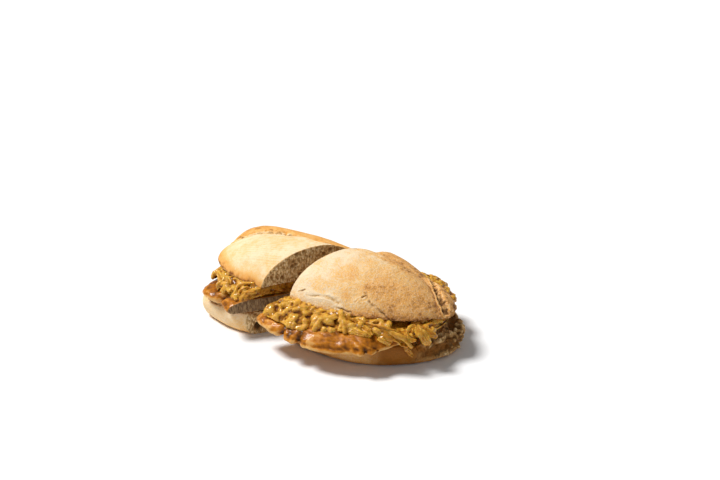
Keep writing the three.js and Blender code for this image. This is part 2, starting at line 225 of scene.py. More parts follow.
def noise(points, size, seed, octaves=2):
    """Smooth noise from -1 to 1 whose largest features are about size across."""
    total = np.zeros(len(points))
    amount = 1.0
    weight = 0.0
    places = points / size
    for octave in range(octaves):
        base = np.floor(places).astype(np.int64)
        part = places - base
        part = part * part * (3 - 2 * part)
        value = np.zeros(len(points))
        for corner in itertools.product((0, 1), repeat=3):
            share = np.prod(np.where(corner, part, 1 - part), axis=1)
            value += share * scatter(base + corner, seed + OCTAVE_STEP * octave)
        total += amount * (2 * value - 1)
        weight += amount
        amount *= 0.5
        places = places * FINER + SHIFT
    return total / weight


def cells(points, size, seed):
    """How far, in cells, each point is from the nearest of scattered centres, and the centre's number."""
    places = points / size
    base = np.floor(places).astype(np.int64)
    nearest = np.full(len(points), 9.0)
    number = np.zeros(len(points))
    for offset in itertools.product((-1, 0, 1), repeat=3):
        cell = base + offset
        centre = cell + 0.5 + 0.8 * (np.stack([scatter(cell, seed + k) for k in (1, 2, 3)], 1) - 0.5)
        away = np.linalg.norm(centre - places, axis=1)
        nearer = away < nearest
        nearest = np.where(nearer, away, nearest)
        number = np.where(nearer, scatter(cell, seed + 4), number)
    return nearest, number


def line_distance(points, line):
    """How far each point is from a line through some places, and the share of the way along it."""
    line = np.array(line, float)
    best = np.full(len(points), 1e9)
    share = np.zeros(len(points))
    for k, (a, b) in enumerate(zip(line[:-1], line[1:])):
        t = np.clip((points - a) @ (b - a) / ((b - a) @ (b - a)), 0, 1)
        away = np.linalg.norm(points - a - t[:, None] * (b - a), axis=1)
        share = np.where(away < best, (k + t) / (len(line) - 1), share)
        best = np.minimum(best, away)
    return best, share


def line_side(points, line):
    """How far left of a line, as it runs in plan, each point is, and the share of the way along the line."""
    away, share = line_distance(points, line)
    line = np.array(line, float)
    place = np.clip(share * (len(line) - 1), 0, len(line) - 1.001)
    k = place.astype(int)
    forward = (line[k + 1] - line[k])[:, :2]
    offset = points[:, :2] - line[k][:, :2]
    return away * np.sign(forward[:, 0] * offset[:, 1] - forward[:, 1] * offset[:, 0]), share


def unit(vectors):
    """Vectors of length 1."""
    return vectors / np.maximum(np.linalg.norm(vectors, axis=-1, keepdims=True), 1e-9)


def bell(x, spread):
    """1 where x is 0, falling to nothing a few spreads away."""
    return np.exp(-((x / spread) ** 2))


def noise_vectors(points, size, seeds, octaves):
    """Three smooth noises for each point, as a vector."""
    return np.stack([noise(points, size, seed, octaves) for seed in seeds], 1)


class Rough:
    """Noises over places, of which each number gives another."""

    def __init__(self, places, seed):
        self.places = places
        self.seed = seed

    def __call__(self, size, number, octaves=2, stretch=1):
        return noise(self.places * stretch, size, self.seed + number, octaves)


def tree_of(points):
    """A tree that finds the nearest of some points."""
    tree = KDTree(len(points))
    for k, point in enumerate(points):
        tree.insert(point, k)
    tree.balance()
    return tree


def seed_of(half, piece):
    """The first random number of a piece."""
    return SEEDS[piece] + (SEED_STEP if half["side"] > 0 else 0)


# ---------------------------------------------------------------- rims and shells


def rim_at(piece, angle):
    """Places on a piece's rim, at angles of its oval."""
    c, s = np.cos(angle), np.sin(angle)
    rim = piece["rim"]
    along = np.where((c < 0)[:, None], rim["left"], rim["right"])
    across = np.where((s < 0)[:, None], rim["front"], rim["back"])
    power = 2 / np.where(c < 0, *piece["square"])
    x = np.sign(c) * along[:, 0] * np.abs(c) ** power
    y = np.sign(s) * across[:, 0] * np.abs(s) ** power
    out = np.zeros(len(angle))
    for middle, spread, height in piece["bulges"]:
        turns = (angle - math.radians(middle)) / math.tau
        out += height * bell(360 * (turns - np.round(turns)), spread)
    grow = 1 + out / np.hypot(x, y)
    turn = math.radians(piece["turn"])
    px = grow * (x * math.cos(turn) - y * math.sin(turn)) + piece["centre"][0]
    py = grow * (x * math.sin(turn) + y * math.cos(turn)) + piece["centre"][1]
    return np.stack([px, py, along[:, 1] * c * c + across[:, 1] * s * s], 1)


class Rim:
    """A piece's rim, measured finely."""

    def __init__(self, piece, count=720):
        self.centre = np.array(piece["centre"], float)
        points = rim_at(piece, np.arange(count) * math.tau / count)
        offset = points[:, :2] - self.centre
        bearing = np.arctan2(offset[:, 1], offset[:, 0])
        order = np.argsort(bearing)
        self.bearing = bearing[order]
        self.reach = np.hypot(*offset.T)[order]
        self.height = points[order, 2]
        self.closed = np.vstack([points, points[:1]])
        steps = np.linalg.norm(np.diff(self.closed, axis=0), axis=1)
        self.way = np.concatenate([[0], np.cumsum(steps)])

    def share(self, points):
        """The share of the way from the centre to the rim at which places lie, and the rim's height there."""
        offset = points[:, :2] - self.centre
        bearing = np.arctan2(offset[:, 1], offset[:, 0])
        reach = np.interp(bearing, self.bearing, self.reach, period=math.tau)
        height = np.interp(bearing, self.bearing, self.height, period=math.tau)
        return np.hypot(*offset.T) / reach, height

    def along(self, share):
        """Places at shares of the way round."""
        way = (share % 1) * self.way[-1]
        return np.stack([np.interp(way, self.way, self.closed[:, k]) for k in range(3)], 1)


def shell(mesh, piece, over, under, rings, count=300):
    """Adds a closed shell between two surfaces that meet at the piece's rim."""
    edge = rim_at(piece, np.arange(count) * math.tau / count)
    centre = np.array(piece["centre"], float)
    rows = [(s, over) for s in rings] + [(1.0, over)] + [(s, under) for s in rings[::-1]]

    def row(s, surface):
        xy = centre + s * (edge[:, :2] - centre)
        return np.column_stack([xy, surface(xy[:, 0], xy[:, 1], np.full(count, s), edge[:, 2])])

    layers = [[mesh.verts.new(p) for p in row(s, surface)] for s, surface in rows]
    top = mesh.verts.new(row(1e-6, over)[0])
    bottom = mesh.verts.new(row(1e-6, under)[0])
    for j in range(count):
        k = (j + 1) % count
        mesh.faces.new((top, layers[0][j], layers[0][k]))
        mesh.faces.new((bottom, layers[-1][k], layers[-1][j]))
        for upper, lower in zip(layers[:-1], layers[1:]):
            mesh.faces.new((upper[j], lower[j], lower[k], upper[k]))


def rings_to(edge_rings, count=14):
    """Shares of the way to the rim: even in the middle, closer where the surface turns down."""
    inner = np.linspace(0.06, 0.9, count)
    return list(inner) + list(1 - 0.1 * 0.62 ** np.arange(1, edge_rings))


def kept_side(cut, side):
    """A point of the knife's plane and the direction from it into the half."""
    x, y, angle = cut
    turn = math.radians(angle)
    return np.array([x, y, 0.0]), side * np.array([math.sin(turn), -math.cos(turn), 0.0])


def slice_off(mesh, cut, side, inset=0.0):
    """Cuts a mesh along the knife's plane, or some millimetres inside it, and closes it."""
    place, inward = kept_side(cut, side)
    place = place + inset * inward
    geometry = mesh.verts[:] + mesh.edges[:] + mesh.faces[:]
    bmesh.ops.bisect_plane(mesh, geom=geometry, plane_co=place, plane_no=-inward, clear_outer=True)
    open_edges = [e for e in mesh.edges if e.is_boundary]
    bmesh.ops.holes_fill(mesh, edges=open_edges, sides=0)


def drop_specks(data):
    """Keeps the largest connected skin of a mesh and removes the specks that a remesh leaves beside it."""
    mesh = bmesh.new()
    mesh.from_mesh(data)
    unseen = set(mesh.verts)
    skins = []
    while unseen:
        front = [unseen.pop()]
        skin = []
        while front:
            corner = front.pop()
            skin.append(corner)
            for edge in corner.link_edges:
                other = edge.other_vert(corner)
                if other in unseen:
                    unseen.remove(other)
                    front.append(other)
        skins.append(skin)
    skins.sort(key=len)
    specks = [corner for skin in skins[:-1] for corner in skin]
    bmesh.ops.delete(mesh, geom=specks, context="VERTS")
    mesh.to_mesh(data)
    mesh.free()


def new_object(name, data):
    """An object in the scene, at its origin."""
    thing = bpy.data.objects.new(name, data)
    bpy.context.scene.collection.objects.link(thing)
    return thing


def fine_mesh(name, mesh, grain):
    """Turns a mesh into an even, fine one of one skin."""
    data = bpy.data.meshes.new(name)
    mesh.to_mesh(data)
    mesh.free()
    piece = new_object(name, data)
    remesh = piece.modifiers.new("Grain", "REMESH")
    remesh.mode = "VOXEL"
    remesh.voxel_size = grain
    graph = bpy.context.evaluated_depsgraph_get()
    fine = bpy.data.meshes.new_from_object(piece.evaluated_get(graph))
    piece.modifiers.clear()
    drop_specks(fine)
    piece.data = fine
    bpy.data.meshes.remove(data)
    return piece


def cut_piece(name, half, shells, cut, kind, grain):
    """A fine mesh of shells that the knife went through, with its vertices and their normals."""
    mesh = bmesh.new()
    for shape, over, under in shells:
        shell(mesh, shape, over, under, rings_to(kind["edge_rings"]))
    slice_off(mesh, cut, half["side"])
    piece = fine_mesh(f"{half['name']}_{name}", mesh, grain)
    return piece, *places_of(piece)


def places_of(piece):
    """A piece's vertices and their normals, as arrays."""
    count = len(piece.data.vertices)
    places = np.empty(count * 3, np.float32)
    normals = np.empty(count * 3, np.float32)
    piece.data.vertices.foreach_get("co", places)
    piece.data.vertex_normals.foreach_get("vector", normals)
    return places.reshape(-1, 3).astype(float), normals.reshape(-1, 3).astype(float)


def smoothed(piece, places, rounds):
    """The vertices' places after each has moved to the mean of its neighbours some times."""
    edges = np.empty(len(piece.data.edges) * 2, np.int32)
    piece.data.edges.foreach_get("vertices", edges)
    a, b = edges[0::2], edges[1::2]
    count = len(places)
    links = np.bincount(a, minlength=count) + np.bincount(b, minlength=count)
    smooth = places.copy()
    for _ in range(rounds):
        for axis in range(3):
            column = smooth[:, axis]
            total = np.bincount(a, column[b], count) + np.bincount(b, column[a], count)
            smooth[:, axis] = total / np.maximum(links, 1)
    return smooth


def hollowness(piece, places, normals, rounds):
    """How far under its neighbourhood's mean each vertex lies, negative where it stands proud."""
    return np.einsum("ij,ij->i", smoothed(piece, places, rounds) - places, normals)


def finish_piece(piece, places, masks, material, node):
    """Sets a piece's vertices and masks, dresses it and puts it in its node's place."""
    count = len(piece.data.vertices)
    moved = (places - np.array([*MIDDLE, 0.0])) * MM
    piece.data.vertices.foreach_set("co", moved.astype(np.float32).ravel())
    for name, values in masks.items():
        attribute = piece.data.attributes.new(name, "FLOAT", "POINT")
        attribute.data.foreach_set("value", np.array(np.broadcast_to(values, count), np.float32))
    piece.data.polygons.foreach_set("use_smooth", [True] * len(piece.data.polygons))
    piece.data.materials.clear()
    piece.data.materials.append(material)
    piece.data.update()
    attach(piece, "root")
    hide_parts(node)


# ---------------------------------------------------------------- materials


class Value:
    """A node's output. Sums with it add Math nodes."""

    def __init__(self, shader, socket):
        self.shader = shader
        self.socket = socket

    def math(self, operation, *terms):
        return self.shader.add("ShaderNodeMath", {"operation": operation}, dict(enumerate(terms)))

    def __add__(self, other):
        return self.math("ADD", self, other)

    __radd__ = __add__

    def __sub__(self, other):
        return self.math("SUBTRACT", self, other)

    def __rsub__(self, other):
        return self.math("SUBTRACT", other, self)

    def __mul__(self, other):
        return self.math("MULTIPLY", self, other)

    __rmul__ = __mul__

    def sine(self):
        return self.math("SINE", self)

    def between(self, low, high):
        """0 at low, 1 at high and smooth between."""
        sockets = {"Value": self, "From Min": low, "From Max": high}
        return self.shader.add("ShaderNodeMapRange", {"interpolation_type": "SMOOTHSTEP"}, sockets)


class Shader:
    """A material that is put together from nodes."""

    def __init__(self, name):
        self.material = bpy.data.materials.new(name)
        self.material.use_nodes = True
        self.tree = self.material.node_tree
        self.tree.nodes.clear()
        self.place = self.add("ShaderNodeTexCoord", output="Object")

    def add(self, kind, settings=None, sockets=None, output=0):
        """Adds a node: its settings first, then the values or links of its sockets. Gives one output."""
        node = self.tree.nodes.new(kind)
        for name, value in (settings or {}).items():
            if name == "stops":
                self.set_stops(node.color_ramp.elements, value)
            else:
                setattr(node, name, value)
        for name, value in (sockets or {}).items():
            if isinstance(value, Value):
                self.tree.links.new(value.socket, node.inputs[name])
            else:
                node.inputs[name].default_value = value
        return Value(self, node.outputs[output]) if node.outputs else None

    def set_stops(self, elements, stops):
        while len(elements) < len(stops):
            elements.new(1)
        for element, (position, colour) in zip(elements, stops):
            element.position = position
            element.color = (*colour[:3], 1)

    def mask(self, name):
        """A mask that the mesh carries."""
        return self.add("ShaderNodeAttribute", {"attribute_name": name}, output="Fac")

    def grain(self, size, detail, stretch=None):
        """Noise from 0 to 1 with features about size millimetres across."""
        place = self.place
        if stretch:
            place = self.add("ShaderNodeVectorMath", {"operation": "MULTIPLY"}, {0: place, 1: stretch})
        sockets = {"Vector": place, "Scale": 1 / (size * MM), "Detail": detail}
        return self.add("ShaderNodeTexNoise", {}, sockets)

    def blend(self, a, b, factor):
        """Mixes two colours."""
        sockets = {0: factor, 6: colour_of(a), 7: colour_of(b)}
        return self.add("ShaderNodeMix", {"data_type": "RGBA"}, sockets, output=2)

    def ramp(self, value, stops):
        """The colours at some stops, blended between them."""
        return self.add("ShaderNodeValToRGB", {"stops": stops}, {0: value})

    def finish(self, colour, roughness, height=None, relief=0.2, **constants):
        """Makes the surface. relief is the height in millimetres that 1 stands for."""
        sockets = {"Base Color": colour, "Roughness": roughness}
        if height is not None:
            bump = {"Height": height, "Distance": relief * MM, "Strength": 1.0}
            sockets["Normal"] = self.add("ShaderNodeBump", {}, bump)
        sockets.update({name.replace("_", " "): value for name, value in constants.items()})
        surface = self.add("ShaderNodeBsdfPrincipled", {"subsurface_method": "RANDOM_WALK"}, sockets)
        self.add("ShaderNodeOutputMaterial", {}, {"Surface": surface})
        return self.material


def colour_of(colour):
    """A link, or a colour with its fourth number."""
    return colour if isinstance(colour, Value) else (*colour[:3], 1)


def bread_material(name, bread):
    """Floury crust that browns, with open crumb where it was cut or torn."""
    shader = Shader(name)
    grit = shader.mask("grit")
    speckle = (shader.grain(0.9, 3) - 0.5) * (grit * 0.6 + 0.15)
    # The brown mask holds the crust's browning, with painted shade added in the upper crust's hollows and over
    # the right lower bread.
    brown = shader.mask("brown")
    brown = brown + speckle * (1.1 - brown) + (shader.grain(5.0, 3) - 0.5) * 0.35
    deep = [0.4 * c for c in bread.dark]
    stops = [(0.0, bread.cream), (0.3, bread.tan), (0.55, bread.golden), (0.82, bread.dark), (1.0, deep)]
    crust = shader.ramp(brown, stops)
    flour = shader.grain(0.8, 2).between(0.42, 0.66) * grit * (0.95 - brown)
    crust = shader.blend(crust, bread.flour, flour)
    fibre = shader.grain(1.1, 4, (1.0, 1.0, 0.5)).between(0.35, 0.68)
    # The crumb's fibre grain takes the shade colour for its dark streaks, as painted shade between the fibres.
    crumb = shader.blend(bread.crumb_shade, bread.crumb, fibre)
    flecks = shader.grain(1.5, 1, (1.0, 1.0, 0.4)).between(0.55, 0.68) * 0.65
    crumb = shader.blend(crumb, bread.cream, flecks)
    # Painted shade: the crumb darkens to its shade colour in pores, hollows, tears, cracks and crevices, and
    # darker still where deepest.
    pit = shader.mask("pit")
    crumb = shader.blend(crumb, bread.crumb_shade, pit.between(0, 0.75))
    crumb = shader.blend(crumb, [0.25 * c for c in bread.crumb_shade], pit.between(0.75, 1.05))
    colour = shader.blend(crust, crumb, shader.mask("crumb"))
    colour = shader.blend(colour, bread.juice, shader.mask("juice"))
    height = (shader.grain(0.8, 3) + shader.grain(2.0, 2)) * (grit * 0.7 + 0.3)
    roughness = 0.85 - shader.mask("juice") * 0.4
    return shader.finish(colour, roughness, height, 0.5, Specular_IOR_Level=0.15)


def steak_material(name, steak):
    """Browned pork, wet with its juices."""
    shader = Shader(name)
    # The mask holds the meat's searing together with painted shade in its hollows.
    sear = shader.mask("sear") + (shader.grain(2.2, 4) - 0.5) * 0.6
    deep = [0.3 * c for c in steak.seared]
    meat = shader.ramp(sear, [(0.0, steak.fat), (0.35, steak.browned), (0.72, steak.seared), (1.0, deep)])
    strands = shader.grain(0.9, 3, (1.0, 1.0, 0.3)).between(0.35, 0.7)
    inside = shader.blend(steak.inside, steak.sinew, strands)
    colour = shader.blend(meat, inside, shader.mask("inside"))
    height = shader.grain(1.2, 3, (0.4, 1.0, 1.0)) + shader.grain(0.5, 1) * 0.4
    roughness = shader.grain(2.5, 2) * 0.35 + 0.12 + shader.mask("inside") * 0.3
    wet = {"Specular_IOR_Level": 0.14, "Coat_Weight": 0.14, "Coat_Roughness": 0.05}
    return shader.finish(colour, roughness, height, 0.35, **wet)


def onion_material(name, onion):
    """Soft stewed onion: translucent, veined and wet."""
    shader = Shader(name)
    # The tone mask holds each piece's own tone, lowered as painted shade in the heap's hollows, gaps, cut face
    # and right-hand end, and raised as painted light at the thin edges of strips.
    tone = shader.mask("tone") + (shader.grain(3.0, 3) - 0.5) * 1.1
    flesh = shader.ramp(tone, [(0.0, onion.brown), (0.5, onion.golden), (1.0, onion.pale)])
    veins = (shader.mask("vein") + shader.grain(2.0, 2) * 3.0).sine() * 0.5 + 0.5
    veined = shader.blend(flesh, onion.brown, veins * 0.12)
    height = veins * 0.4 + shader.grain(2.0, 2)
    roughness = shader.grain(2.0, 2) * 0.25 + 0.15
    soft = {"Subsurface_Weight": 0.5, "Subsurface_Radius": (1.0, 0.5, 0.12), "Subsurface_Scale": 0.0015}
    wet = {"Specular_IOR_Level": 0.16, "Coat_Weight": 0.3, "Coat_Roughness": 0.05}
    return shader.finish(veined, roughness, height, 0.25, **soft, **wet)


# ---------------------------------------------------------------- bread


# How thick the face that the knife left is taken to be, and how near it the crust counts as its rind.
CUT_DEPTH = 0.9
RIND_REACH = 4
# The crumb's kinds of pores: width, depth and the share of places that have one.
PORES = ((4.2, 1.3, 0.3), (2.3, 0.7, 0.45), (1.3, 0.3, 0.6))


def cut_mask(places, normals, cut, side):
    """1 on the face that the knife left."""
    place, inward = kept_side(cut, side)
    near = smoothstep((places - place) @ inward, CUT_DEPTH, 0.35 * CUT_DEPTH)
    return near * smoothstep(-normals @ inward, 0.3, 0.7)


def rind_distance(places, cut, skin):
    """How far each place on the cut face is from the crust, in millimetres."""
    tree = tree_of(places[(cut < 0.3) & skin])
    distance = np.zeros(len(places))
    for k in np.flatnonzero(cut > 0.3):
        distance[k] = tree.find(places[k])[2]
    return distance


def crumb_relief(places, seed, size):
    """How deep the crumb's pores are, in millimetres, and where they are, from 0 to 1, as the painted shade
    inside them.
    """
    depth = np.zeros(len(places))
    pit = np.zeros(len(places))
    for k, (wide, deep, often) in enumerate(PORES):
        away, number = cells(places + 3 * k, wide * size, seed + 10 * k)
        pore = smoothstep(away, 0.52, 0.2) * (number < often)
        depth += deep * size * pore
        pit = np.maximum(pit, pore * (0.9 - 0.2 * k))
    return depth, pit


# A spot that browned more, on the front of the right half.
BROWN_SPOT = (27, -62, 46.5)


class Crust:
    """An upper bread's surface: how far it stands out, how brown it is, and where it is bare or shaded."""

    def __init__(self, half, places, skin, lip):
        self.left = half["side"] < 0
        self.places = places
        self.skin = skin
        self.lip = lip
        self.seed = seed_of(half, "top_bread")
        self.rough = Rough(places, self.seed)
        self.out = skin * (0.55 * self.rough(20, 1) + 0.28 * self.rough(6.5, 2))
        self.brown = 0.1 + 0.18 * self.rough(26, 3, 3) + 0.14 * self.rough(7, 4, 3)
        self.bare = np.zeros(len(places))
        self.shade = np.zeros(len(places))

    def tear(self, k, tear):
        """Opens the crust behind a ragged edge, where a trough of crumb shows."""
        rough, reach = self.rough, tear["reach"]
        behind, way = line_side(self.places, tear["line"])
        behind += 1.3 * rough(3.2, 60 + k, 3) + 0.7 * rough(1.4, 70 + k)
        ends = smoothstep(way, 0.0, 0.06) * smoothstep(way, 1.0, 0.92)
        wide = tear["wide"] * (0.85 + 0.5 * rough(16, 85 + k))
        band = smoothstep(behind, -0.3, 0.4) * ends
        trough = band * smoothstep(behind, wide + reach, 0.7 * wide)
        self.out -= self.skin * tear["deep"] * trough * (0.8 + 0.5 * rough(4, 80 + k))
        self.out += self.skin * 0.4 * ends * bell(behind + 0.9, 0.8)
        ragged = behind + (0.6 + 0.5 * tear["wide"]) * rough(3, 90 + k, 3)
        bare = self.skin * band * smoothstep(ragged, wide + 0.35 * reach, wide)
        self.bare = np.maximum(self.bare, (1 - tear["toast"]) * bare)
        self.brown += 0.8 * tear["toast"] * bare
        foot = bell(behind - 0.7, 0.9) * ends
        shade = bare * (tear["shade"] + 1.2 * rough(2.2, 95 + k)) + 0.8 * foot
        self.shade = np.maximum(self.shade, shade)
        self.brown += 0.45 * ends * bell(behind + 0.5, 0.7)
        lobe = smoothstep(behind, wide, wide + 0.5 * reach) * smoothstep(behind, 34, 22)
        self.brown += (0.46 if self.left else 0.2) * lobe

    def crack(self, k, wide, deep, line):
        """Splits the crust along a line that wanders, with crumbly margins."""
        first = self.seed + 20 + 3 * k
        wander = noise_vectors(self.places, 4.5, range(first, first + 3), 3)
        away, way = line_distance(self.places + 1.3 * wander, line)
        bow = np.sin(math.pi * np.clip(way, 0.03, 0.97)) ** 0.5
        split = bow * smoothstep(self.rough(5, 40 + k), -0.5, -0.1)
        seam = split * bell(away, 0.55)
        crumbs = away + 0.5 * wide * self.rough(1.6, 50 + k)
        margin = split * smoothstep(crumbs, wide, 0.5 * wide)
        self.out -= deep * (0.5 * seam + 0.2 * margin) * self.skin
        self.out += 0.3 * bell(away - 1.5 * wide, wide) * self.skin * bow
        self.bare = np.maximum(self.bare, 0.6 * margin + 0.35 * seam)
        self.shade = np.maximum(self.shade, 0.95 * seam + 0.6 * margin * self.rough(1.3, 55 + k))

    def bake_left(self):
        """Lays fine furrows along the roll near its top, and makes its end and lower edge golden."""
        bent = self.places @ np.array([-0.12, 1.0, 0.35]) + 0.9 * self.rough(18, 5)
        furrows = smoothstep(self.places[:, 2], 46, 52) * np.sin(bent * math.tau / 2.1)
        self.out += self.skin * 0.1 * furrows
        self.brown += 0.05 * furrows
        self.brown += 0.04 + 0.56 * smoothstep(self.lip + 2 * self.rough(9, 6), 9, 0.5)
        self.brown += 0.24 * smoothstep(self.places[:, 0], -70, -92) + 0.1 * self.rough(4, 10)

    def bake_right(self):
        """Makes the crust rougher and browner towards the roll's right-hand tip."""
        x, lip = self.places[:, 0], self.lip
        self.out += self.skin * 0.11 * self.rough(1.7, 5) * (0.6 + 0.7 * smoothstep(x, 0, 50))
        self.brown += 0.56 * smoothstep(x, 0, 62) - 0.1
        self.brown += 0.3 * smoothstep(lip + self.rough(4, 12), 5, 0.5) * smoothstep(x, 38, 55)
        self.brown += 0.2 * smoothstep(lip + 2.5 * self.rough(7, 6), 6.5, 1.5)
        self.brown += 0.25 * bell(np.linalg.norm(self.places - BROWN_SPOT, axis=1), 4.2)
        self.brown += 0.22 * smoothstep(self.rough(12, 7, 3), 0.08, 0.45)

    def limit(self):
        """Keeps the crust from burning, and draws a thin brown line along its lip."""
        self.brown = np.minimum(self.brown, 0.62 + 0.25 * self.rough(2.5, 11))
        self.brown += 0.22 * smoothstep(self.lip + 0.7 * self.rough(2, 9), 2.8, 0.6) * self.skin


def top_bread(half, settings):
    """The upper bread of a half: swellings of crust over the plane that the roll was split on."""
    shape = half["top_bread"]
    height, tip_height, fall = shape["plane"]

    def base(x, s, edge):
        flat = height + (tip_height - height) * smoothstep(x, *fall)
        return flat + (edge - flat) * s ** TOP_BREAD["lip_reach"]

    def over(rise):
        return lambda x, y, s, edge: base(x, s, edge) + rise * (1 - s * s) ** TOP_BREAD["fullness"]

    def under(x, y, s, edge):
        return base(x, s, edge)

    shells = [(swelling, over(swelling["height"]), under) for swelling in shape["swellings"]]
    piece, places, normals = cut_piece(
        "top_bread_crust", half, shells, shape["cut"], TOP_BREAD, settings.crust_grain
    )
    edges = []
    for swelling in shape["swellings"]:
        share, edge = Rim(swelling).share(places)
        edges.append(np.where(share < 1.02, edge, np.inf))
    lip = places[:, 2] - np.min(edges, axis=0)

    cut = cut_mask(places, normals, shape["cut"], half["side"])
    split = smoothstep(normals[:, 2], -0.3, -0.7) * smoothstep(lip, 2.5, 0.5)
    place, inward = kept_side(shape["cut"], half["side"])
    near_cut = (places - place) @ inward < RIND_REACH
    rind = rind_distance(places, cut, (split < 0.5) & near_cut)

    crust = Crust(half, places, 1 - np.maximum(cut, split), lip)
    crust.brown += 0.35 * cut
    for k, tear in enumerate(TEARS[half["name"]]):
        crust.tear(k, tear)
    for k, crack in enumerate(CRACKS[half["name"]]):
        crust.crack(k, *crack)
    if crust.left:
        crust.bake_left()
    else:
        crust.bake_right()
    crust.limit()

    crumb = np.maximum(cut * smoothstep(rind, 0.3, 0.9), split)
    crumb = np.maximum(crumb, 0.9 * crust.bare)
    torn = crust.bare > 0.3
    pore, pit = crumb_relief(places, crust.seed, settings.pores)
    out = crust.out - pore * crumb * np.where(torn, 0.3, 1)
    out += 0.25 * crust.rough(1.3, 8) * crumb
    places += normals * out[:, None]
    hollow = hollowness(piece, places, normals, 5)
    # Painted shade: the crust is browner in its hollows, and paler where it stands proud.
    brown = crust.brown + crust.skin * np.clip(hollow, -0.12, 0.25) * 1.2
    # Painted shade: the crumb's pores, the crust's troughs and seams, and deep hollows are darkened.
    pit = np.maximum(pit * crumb * np.where(torn, 0.4, 1), crust.shade)
    pit = np.maximum(pit, 0.7 * smoothstep(hollow, 0.15, 0.5))
    masks = {
        "brown": np.clip(brown, 0, 1),
        "crumb": crumb,
        "pit": np.clip(pit, 0, 1),
        "juice": 0,
        "grit": 0.3 if crust.left else 1,
    }
    return [(piece, places, masks)]


# The lower breads: where along the roll the torn end starts, a stain of juices and a hollow in the cut.
TORN_END = (72, 79)
STAIN = (64, -56, 10)
HOLLOW = (-40.5, -67.0, 5.5)


def bottom_bread(half, settings):
    """The lower bread of a half."""
    shape = half["bottom_bread"]
    seed = seed_of(half, "bottom_bread")
    thickness, foot_share = BOTTOM_BREAD["thickness"], BOTTOM_BREAD["foot_share"]

    def rounded(share):
        return (1 - share) ** BOTTOM_BREAD["roundness"]

    def over(x, y, s, edge):
        return edge + (thickness - edge) * rounded(s ** BOTTOM_BREAD["sharpness"])

    def under(x, y, s, edge):
        out = np.maximum(0, (s - foot_share) / (1 - foot_share))
        return edge * (1 - rounded(out * out))

    piece, places, normals = cut_piece(
        "bottom_bread_crust", half, [(shape, over, under)], shape["cut"], BOTTOM_BREAD, settings.grain
    )
    rough = Rough(places, seed)
    x, z = places[:, 0], places[:, 2]
    cut = cut_mask(places, normals, shape["cut"], half["side"])
    split = smoothstep(normals[:, 2], 0.45, 0.8) * smoothstep(z, thickness - 3, thickness - 1.2)
    crumb = np.maximum(cut, split)
    skin = 1 - smoothstep(z, 1.2, 0.3)
    pore, pit = crumb_relief(places, seed, settings.pores)
    out = (1 - crumb) * skin * (0.5 * rough(18, 1) + 0.22 * rough(5, 2))
    out += skin * 0.08 * rough(1.5, 3)
    brown = 0.14 + 0.14 * rough(18, 4, 3) + 0.12 * rough(5, 11, 3)
    brown += 0.3 * smoothstep(z, 5, 0)
    if half["side"] > 0:
        # The right-hand end is torn: deep hollows with pale ridges between them.
        tip = smoothstep(x + 4 * rough(8, 9), *TORN_END) * smoothstep(z, 1.5, 4)
        ridge = np.abs(rough(7, 5, 3, (1, 1, 0.7)))
        fine = np.abs(rough(3.2, 10, 2, (1, 1, 0.7)))
        out -= tip * (3.4 * smoothstep(ridge, 0.03, 0.4) + 1.3 * smoothstep(fine, 0.05, 0.4) - 1.4)
        crumb = np.maximum(crumb, tip)
        # Painted shade in the torn end's hollows.
        dark = np.maximum(smoothstep(ridge, 0.05, 0.22), 0.5 * smoothstep(fine, 0.1, 0.3))
        pit = np.maximum(pit, tip * dark)
        # Juice soaked into the deeper hollows: partly a real stain, partly painted shade.
        soaked_and_shaded = 0.7 * tip * smoothstep(ridge + 0.3 * fine, 0.18, 0.45)
        stain = np.linalg.norm((places - STAIN) * (0.6, 0.6, 1), axis=1)
        juice = np.maximum(soaked_and_shaded, smoothstep(stain + 4 * rough(7, 6), 19, 6))
        # Painted shade: the right lower bread is darker all over; near its tip the top edge browns more.
        brown += 0.28 + 0.2 * smoothstep(z, 13, 17) * smoothstep(x, 60, 90)
    else:
        hollow = np.linalg.norm((places - HOLLOW) / (4.5, 4.5, 4.8), axis=1)
        out -= 4.2 * smoothstep(hollow + 0.2 * rough(2.5, 5), 1.1, 0.35) * cut
        # Painted shade inside the hollow in the cut.
        pit = np.maximum(pit, smoothstep(hollow, 1.0, 0.5) * cut)
        juice = 0.5 * cut * smoothstep(z, 12, 17)
    out -= pore * crumb
    places += normals * out[:, None]
    places[:, 2] = np.maximum(places[:, 2], 0)
    masks = {
        "brown": np.clip(brown, 0, 1),
        "crumb": crumb,
        "pit": pit * crumb,
        "juice": juice,
        "grit": 0.6,
    }
    return [(piece, places, masks)]


# ---------------------------------------------------------------- steak


# A charred spot on each half and its radius.
CHARRED = {"left": ((-60.5, -73.3, 25.7), 3.0), "right": ((58.4, -72.2, 17.9), 0.9)}
# Notches narrower than this many degrees run on over the steak as grooves, measured with heights halved.
NARROW_NOTCH = 8
FLATTENED = (1, 1, 0.5)


